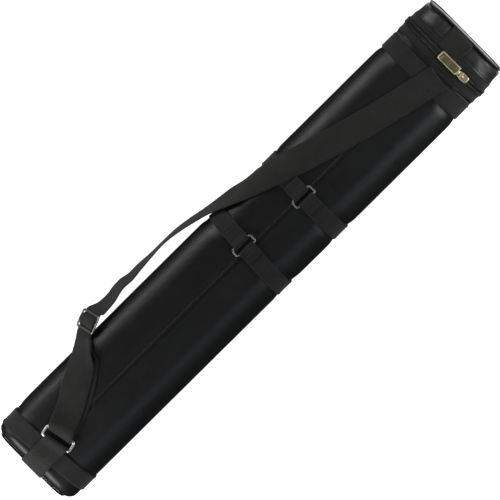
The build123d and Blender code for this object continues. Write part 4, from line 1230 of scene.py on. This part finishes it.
zl = F - L
lid_pts = [(X_PART + 5.9, zl + 0.9), (X_PART + 10.0, zl + 1.0), (X_PART + 17.5, zl + 1.1), (X_PART + 24.0, zl + 1.1), (X_TOP - 8.5, zl + 1.1), (X_TOP - LID_R + 0.5, zl + 0.95), (X_TOP - 2.5, zl + 0.3), (X_TOP - 0.6, zl - 1.0), (X_TOP + 0.1, zl - 1.7)]
rows = [[(x, y, z) for y in (-17.0, -8.0, 1.0, 10.0, 19.0)] for x, z in lid_pts]
ob, LG, LN, LS = webbing("lid_strap_webbing", np.array(rows), 36.0, t=1.55, step=1.6, nw=17, mat=MAT_WEB, body="lid", replaces=("lid_strap",))
fix_normals(ob)
sg = side_at(LG, LN, LS, 8.0, np.array([0, 0, 1.0]))
for dd in (1.4, 4.0):
    p, q = surf_cross(LG, LN, dd, LS, 0.8 * sg, 1, 16)
    stitch_line(STL, p, q * sg, pitch=3.0, r=0.34)
for c in (1, 15):
    p, q = surf_line(LG, LN, 2.0, LS[-1] - 2, c, 0.8 * sg, LS, n=60)
    stitch_line(STL, p, q * sg, pitch=3.5, r=0.34)
p, q = surf_cross(LG, LN, LS[-1] - 4.0, LS, 0.8 * sg, 1, 16)
stitch_line(STL, p, q * sg, pitch=3.0, r=0.34)

# ------------------------------------------------------------------ hinge strip: one piece of doubled leatherette
xs_ = np.linspace(353.2, 384.9, 60)
ys_ = np.linspace(-46.0, 46.0, 60)
aH = np.concatenate([np.linspace(A5 - 46.0, A5, 30), -np.linspace(A5, A5 - 46.0, 30)[1:]])
rowsH = []
for x in xs_:
    groove = 0.55 * math.exp(-((x - X_PART) / 1.5) ** 2) - 0.25 * math.exp(-((x - X_PART) / 5.0) ** 2)
    zt = 0.15 + (2.05 - 0.4 * 0) * 0
    rowsH.append([(x, y, Z_BACK + 0.15 + (0.35 if x > 374 else 0.0) * 0 + groove * 0.6) for y in ys_])
G = np.array(rowsH)
# the strip keeps to the back's flat and turns up with its rounding
def back_z(y, dlt):
    m = np.maximum(np.abs(y) - A1, 0)
    return Z_BACK + R - np.sqrt(np.maximum((R - dlt) ** 2 - m ** 2, 0)) if False else np.where(np.abs(y) <= A1, Z_BACK + dlt, Z_BACK + R - np.sqrt(np.maximum((R - dlt) ** 2 - m ** 2, 1e-6)))
out_, in_ = [], []
for x in xs_:
    roll = -0.45 * math.exp(-((x - X_PART) / 2.2) ** 2)
    out_.append(np.stack([np.full(60, x), ys_, back_z(ys_, 0.12 + roll)], -1))
    in_.append(np.stack([np.full(60, x), ys_, back_z(ys_, 0.95 + roll * 0.4)], -1))
out_, in_ = np.array(out_), np.array(in_)
ring = np.concatenate([out_, in_[:, ::-1]], axis=1)
k = ring.shape[1]
f = [tuple(q) for q in gfaces(60, k, cv=True)]
for e in (0, 59):
    for j in range(59):
        f.append((e * k + j, e * k + j + 1, e * k + (k - 2 - j), e * k + (k - 1 - j)))
hinge = new_obj("hinge_strip", ring.reshape(-1, 3), f, mat=MAT_LEATHER, body=None, slot="leatherette", replaces=("hinge_leaf_body", "hinge_leaf_lid"))
fix_normals(hinge)
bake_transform(hinge)
for xx, bag in ((355.2, ST), (364.4, ST), (374.6, STL), (383.0, STL)):
    yy = np.linspace(-44.5, 44.5, 60)
    pts = np.stack([np.full(60, xx), yy, back_z(yy, 0.05)], -1)
    m_ = np.maximum(np.abs(yy) - A1, 0) * np.sign(yy)
    nr = unit(np.stack([np.zeros(60), m_, -np.sqrt(np.maximum(R ** 2 - m_ ** 2, 1))], -1))
    stitch_line(bag, pts, nr, pitch=3.4)

# ------------------------------------------------------------------ inside
def tube_shell(bag, x0, x1, d_out, d_in, nx=3, nr=160, lid=False):
    """a wall between two section rings, closed at both ends"""
    aa = np.linspace(-A5, A5, nr, endpoint=False)
    rowsT = []
    for x, d in [(x, d_out) for x in np.linspace(x0, x1, nx)] + [(x, d_in) for x in np.linspace(x1, x0, nx)]:
        y, z, _, _ = sect(aa, -d)
        rowsT.append(np.stack([np.full(nr, x), y, z], -1))
    G_ = np.array(rowsT)
    add_poly(bag, G_.reshape(-1, 3), [tuple(q) for q in gfaces(2 * nx, nr, cu=True, cv=True)])


# body's stiff shell with a taped rim
B = Bag()
tube_shell(B, -398.0, 368.9, 3.55, 5.4, nx=30)
ob = B.obj("body_shell_wall", mat=MAT_SHELL, slot="shell_board", replaces=("shell", "body_padding"), sharp=60)
fix_normals(ob)
B = Bag()
aa = np.linspace(-A5, A5, 260, endpoint=False)
y, z, _, _ = sect(aa, -4.7)
v, f = tube_mesh(np.stack([np.full(260, 368.2), y, z], -1), 1.0, 1.55, k=10, closed=True, up=(1.0, 0, 0))
add_poly(B, v, f)
ob = B.obj("body_rim_binding", mat=MAT_TAPE, slot="zip_tape")
fix_normals(ob)
# padding shown at the rim between cover and shell
B = Bag()
tube_shell(B, 346.0, 364.0, 1.1, 3.5, nx=8)
ob = B.obj("body_rim_padding", mat=MAT_FOAM, slot="foam")
fix_normals(ob)

# velour lining glued to the shell, a little loose between its glue lines
aa = np.linspace(-A5, A5, 240, endpoint=False)
xs_ = np.concatenate([[-400.4], np.linspace(-396.0, 352.0, 110), np.linspace(354.0, 366.0, 8), [367.0, 367.4]])
X_, A_ = np.meshgrid(xs_, aa, indexing="ij")
loose = 0.05 + 0.22 * (0.5 + 0.5 * wob(X_, A_, 60.0, 31))
G1, G2 = [], []
for i, x in enumerate(xs_):
    y, z, _, _ = sect(aa, -(6.06 + 0 * aa))
    y2, z2, _, _ = sect(aa, -(6.50 + loose[i]))
    G1.append(np.stack([np.full(len(aa), x), y, z], -1))
    G2.append(np.stack([np.full(len(aa), x), y2, z2], -1))
G_ = np.array(G1 + G2[::-1])
ob = new_obj("body_lining_cloth", G_.reshape(-1, 3), gfaces(len(G_), len(aa), cu=True, cv=True), mat=MAT_LINING, slot="lining", replaces=("body_lining",), sharp=60)
fix_normals(ob)

# dividers: velour-covered boards with a rolled front edge and a seam along it
Y_IN = W / 2 - 6.75
Z_LO, Z_HI = Z_BACK + 6.75, F - 6.75
WX0, WX1, SHELF_Z, DIV_T = -402.9, 352.0, 46.0, 2.0


def board(name, node, lo, hi, across, mid, mat, seed):
    """a padded board from lo to hi along one of Y or Z, its middle plane at mid on the other; the front edge is rolled"""
    nx = 90
    xs_ = np.concatenate([np.linspace(WX0, WX1 - 6.0, nx), WX1 - 6.0 + 6.0 * np.sin(np.linspace(0.1, math.pi / 2, 9))])
    ks = np.linspace(0, 1, 15)
    hw = DIV_T / 2
    X_, K_ = np.meshgrid(xs_, ks, indexing="ij")
    pad = 0.14 * wob(X_, K_ * (hi - lo), 48.0, seed)
    roll = np.sqrt(np.clip(1 - ((X_ - (WX1 - 1.0)) / 1.0).clip(0, 1) ** 2, 0.0, 1))
    seam = 0.20 * np.exp(-((X_ - (WX1 - 5.2)) / 0.5) ** 2)
    t = (hw - 0.16 + pad - seam) * np.maximum(roll, 0.12)
    w = lo + (hi - lo) * K_
    sides = []
    for sg_ in (1, -1):
        if across == "z":
            sides.append(np.stack([X_, w, mid + sg_ * t], -1))
        else:
            sides.append(np.stack([X_, mid + sg_ * t, w], -1))
    G_ = np.concatenate([sides[0], sides[1][:, ::-1]], axis=1)
    n_, k_ = G_.shape[:2]
    f = [tuple(q) for q in gfaces(n_, k_, cv=True)]
    m_ = len(ks)
    for e in (0, (n_ - 1) * k_):
        for j in range(m_ - 1):
            f.append((e + j, e + j + 1, e + 2 * m_ - 2 - j, e + 2 * m_ - 1 - j))
    ob = new_obj(name, G_.reshape(-1, 3), f, mat=mat, slot="lining", replaces=(node,), sharp=60)
    fix_normals(ob)
    nrm_ = np.array([0, 0, 1.0]) if across == "z" else np.array([0, 1.0, 0])
    for sg_ in (1, -1):
        ww = np.linspace(lo + 2, hi - 2, 14)
        pts = np.stack([np.full(14, WX1 - 5.2), ww, np.full(14, mid + sg_ * (hw - 0.3))], -1) if across == "z" else np.stack([np.full(14, WX1 - 5.2), np.full(14, mid + sg_ * (hw - 0.3)), ww], -1)
        stitch_line(ST, pts, np.tile(nrm_ * sg_, (14, 1)), pitch=3.2, r=0.26)
    return ob


board("shelf_board", "well_shelf", -Y_IN + 0.1, Y_IN - 0.1, "z", SHELF_Z, MAT_VEL, 41)
for i, yy in enumerate((-19.6, 19.6)):
    board("butt_board_%d" % (i + 1), "butt_divider_%d" % (i + 1), Z_LO, SHELF_Z - DIV_T / 2 - 0.02, "y", yy, MAT_VEL, 51 + i)
for i, yy in enumerate((-37.2, -12.6, 12.6, 37.2)):
    board("shaft_board_%d" % (i + 1), "shaft_divider_%d" % (i + 1), SHELF_Z + DIV_T / 2 + 0.02, Z_HI - (0.3 if abs(yy) > A1 else 0.0), "y", yy, MAT_VEL, 61 + i)
bpad = end_panel("bottom_foam_pad", -405.0, 7.2, 1.5, 1, ("bottom_pad",), MAT_FOAM, "body", slot="foam", depth=3.4, seed=17)

# lid: shell, lining and a quilted pad
B = Bag()
aa = np.linspace(-A5, A5, 160, endpoint=False)
prof = [(370.1, L + 3.05)] + [(x, L + 3.05) for x in (380.0, 388.0)] + [(X_TOP - 3.05 - 2.9 + 2.9 * math.sin(q), L + 3.05 + 2.9 - 2.9 * math.cos(q)) for q in np.linspace(0, math.pi / 2, 8)] + [(405.45, 30.0), (403.3, 30.0)]
prof += [(X_TOP - 5.2 - 1.5 + 1.5 * math.sin(q), L + 5.2 + 1.5 - 1.5 * math.cos(q)) for q in np.linspace(math.pi / 2, 0, 6)] + [(x, L + 5.2) for x in (388.0, 380.0)] + [(370.1, L + 5.2)]
G_ = []
for x, d in prof:
    y, z, _, _ = sect(aa, -d)
    G_.append(np.stack([np.full(160, x), y, z], -1))
G_ = np.array(G_)
ob = new_obj("lid_shell_wall", G_.reshape(-1, 3), gfaces(len(prof), 160, cu=True, cv=True), mat=MAT_SHELL, body="lid", slot="shell_board", replaces=("lid_shell", "lid_padding"), sharp=60)
fix_normals(ob)
B = Bag()
prof = [(371.0, L + 5.25), (371.0, L + 6.0)] + [(x, L + 6.0) for x in (378.0, 386.0)] + [(X_TOP - 6.0 - 1.0 + 1.0 * math.sin(q), L + 6.0 + 1.0 - 1.0 * math.cos(q)) for q in np.linspace(0, math.pi / 2, 6)] + [(402.5, 24.0), (402.5, 35.9)]
G_ = []
for x, d in prof:
    y, z, _, _ = sect(aa, -min(d, 35.9))
    G_.append(np.stack([np.full(160, x), y, z], -1))
G_ = np.array(G_)
ff = [tuple(q) for q in gfaces(len(prof), 160, cv=True)] + [tuple((len(prof) - 1) * 160 + j for j in range(160))]
ob = new_obj("lid_lining_cloth", G_.reshape(-1, 3), ff, mat=MAT_LINING, body="lid", slot="lining", replaces=("lid_lining",), sharp=60)
B = Bag()
y, z, _, _ = sect(aa, -4.7 - L)
v, f = tube_mesh(np.stack([np.full(160, 370.8), y, z], -1), 0.8, 1.4, k=10, closed=True, up=(1.0, 0, 0))
add_poly(B, v, f)
ob = B.obj("lid_rim_binding", mat=MAT_TAPE, body="lid", slot="zip_tape")
fix_normals(ob)
# pad: crowned, with a sewn diamond grid
nk_ = 46
rad_s = np.linspace(0.02, 1, nk_)
y0_, z0_, _, _ = sect(aa, -(L + 7.0))
rowsP = []
for kk in rad_s:
    yy, zz_ = y0_ * kk, ZC + (z0_ - ZC) * kk
    g1 = np.abs(((yy + zz_) / 22.0) % 1.0 - 0.5) * 2
    g2 = np.abs(((yy - zz_) / 22.0) % 1.0 - 0.5) * 2
    quilt = 1.5 * (1 - np.maximum(np.exp(-((1 - g1) / 0.16) ** 2), np.exp(-((1 - g2) / 0.16) ** 2)))
    edge = 5.0 * max(0.0, 1 - kk ** 7) ** 0.6
    rowsP.append(np.stack([402.0 - 3.6 - edge + 0.9 - quilt * min(1.0, 1.2 * (1 - kk ** 8)), yy, zz_], -1))
for kk in rad_s[::-1][:1]:
    pass
rowsP.append(np.stack([np.full(160, 402.3), y0_, z0_], -1))
rowsP.append(np.stack([np.full(160, 402.3), y0_ * 0.02, ZC + (z0_ - ZC) * 0.02], -1))
G_ = np.array(rowsP)
ff = [tuple(q) for q in gfaces(len(rowsP), 160, cv=True)] + [tuple(range(160)), tuple((len(rowsP) - 1) * 160 + j for j in range(160))]
ob = new_obj("lid_quilt_pad", G_.reshape(-1, 3), ff, mat=MAT_VEL, body="lid", slot="lining", replaces=("lid_foam_pad",))
fix_normals(ob)

# ------------------------------------------------------------------ stitches
ob = ST.obj("stitching_body", mat=MAT_THREAD, slot="zip_tape")
ob = STL.obj("stitching_lid", mat=MAT_THREAD, body="lid", slot="zip_tape")

# ------------------------------------------------------------------ floor, light, camera
bm = bmesh.new()
nfx = 2
fs = 6.0
vs = [bm.verts.new((x, y, -0.0006)) for x, y in ((-fs, -fs), (fs, -fs), (fs, fs), (-fs, fs))]
bm.faces.new(vs)
me = bpy.data.meshes.new("floor")
bm.to_mesh(me)
bm.free()
floor = bpy.data.objects.new("floor", me)
bpy.context.scene.collection.objects.link(floor)
k = M("floor_paper")
nz = k.noise(40.0, 3.0, 0.5)
k.set(k.b.inputs["Base Color"], k.mix(nz, (0.80, 0.80, 0.80), (0.84, 0.84, 0.84)))
k.b.inputs["Roughness"].default_value = 0.95
k.b.inputs["Specular IOR Level"].default_value = 0.1
k.b.inputs["Emission Color"].default_value = (1, 1, 1, 1)
k.b.inputs["Emission Strength"].default_value = 0.86
me.materials.append(k.m)
floor.visible_glossy = False
# a white card on the floor in front of the lid's end
me = bpy.data.meshes.new("card")
me.from_pydata([(0.402, -0.12, -0.0004), (0.70, -0.12, -0.0004), (0.70, 0.12, -0.0004), (0.402, 0.12, -0.0004)], [], [(0, 1, 2, 3)])
me.materials.append(k.m)
card = bpy.data.objects.new("card", me)
bpy.context.scene.collection.objects.link(card)


def area(name, loc_, target, size, power, color=(1, 1, 1), sy=None):
    ld = bpy.data.lights.new(name, "AREA")
    ld.shape = "RECTANGLE"
    ld.size = size
    ld.size_y = sy or size
    ld.energy = power
    ld.color = color
    ob_ = bpy.data.objects.new(name, ld)
    bpy.context.scene.collection.objects.link(ob_)
    ob_.location = loc_
    d = Vector(target) - Vector(loc_)
    ob_.rotation_mode = "QUATERNION"
    ob_.rotation_quaternion = d.to_track_quat("-Z", "Y")
    return ob_


def softbox(name, direction, dist, size, sy, power, color=(1, 1, 1)):
    d = Vector(direction).normalized()
    return area(name, d * dist, (0, 0, 0.04), size, power, color, sy)


softbox("key_upper_left", (0.02, 1.0, 0.34), 1.6, 2.2, 0.34, 13.0, (1.0, 0.99, 0.97))
softbox("fill_lower_right", (0.10, -1.0, 1.35), 2.2, 2.6, 1.2, 6.0, (0.84, 0.91, 1.0))
area("end_lid", (0.70, -0.44, 0.40), (0.40, -0.04, 0.06), 0.60, 4.2, sy=0.50)
area("end_bottom", (-0.76, 0.0, 0.31), (-0.40, 0.0, 0.08), 0.60, 3.4, sy=0.14)
area("key_right", (0.60, 1.05, 0.72), (0.25, 0.0, 0.08), 0.9, 3.4, (1.0, 0.99, 0.97), 0.25)

wd = bpy.data.worlds.new("studio")
bpy.context.scene.world = wd
wd.use_nodes = True
nt = wd.node_tree
nt.nodes.clear()
wo = nt.nodes.new("ShaderNodeOutputWorld")
bg = nt.nodes.new("ShaderNodeBackground")
tcn = nt.nodes.new("ShaderNodeTexCoord")
sp = nt.nodes.new("ShaderNodeSeparateXYZ")
mr = nt.nodes.new("ShaderNodeMapRange")
nt.links.new(tcn.outputs["Generated"], sp.inputs[0])
nt.links.new(sp.outputs[2], mr.inputs[0])
mr.inputs[1].default_value = -0.1
mr.inputs[2].default_value = 0.35
mr.inputs[3].default_value = 0.04
mr.inputs[4].default_value = 0.13
nt.links.new(mr.outputs[0], bg.inputs[1])
bg.inputs[0].default_value = (0.96, 0.98, 1.0, 1.0)
nt.links.new(bg.outputs[0], wo.inputs[0])

cam_d = bpy.data.cameras.new("camera")
cam = bpy.data.objects.new("camera", cam_d)
bpy.context.scene.collection.objects.link(cam)
bpy.context.scene.camera = cam
DIST = 12.0
TILT = math.radians(4.6)
tgt = Vector((-0.0018, -0.00082, 0.0450))
back = Vector((math.sin(TILT), 0.0, math.cos(TILT)))
cam.location = tgt + back * DIST
q = math.radians(44.63)
# image right and up, in the row frame, before the tilt
right = Vector((math.cos(q), -math.sin(q), 0.0))
right = (right - back * right.dot(back)).normalized()
upv = back.cross(right)
from mathutils import Matrix
cam.rotation_mode = "QUATERNION"
cam.rotation_quaternion = Matrix((right, upv, back)).transposed().to_quaternion()
cam_d.type = "PERSP"
cam_d.sensor_width = 36.0
cam_d.lens = 36.0 * DIST / 0.6757
cam_d.clip_start, cam_d.clip_end = 0.05, 50.0
cam_d.dof.use_dof = False
bpy.context.scene.view_settings.view_transform = "Standard"
bpy.context.scene.view_settings.look = "None"
bpy.context.scene.view_settings.exposure = 0.0
bpy.context.scene.view_settings.gamma = 1.0
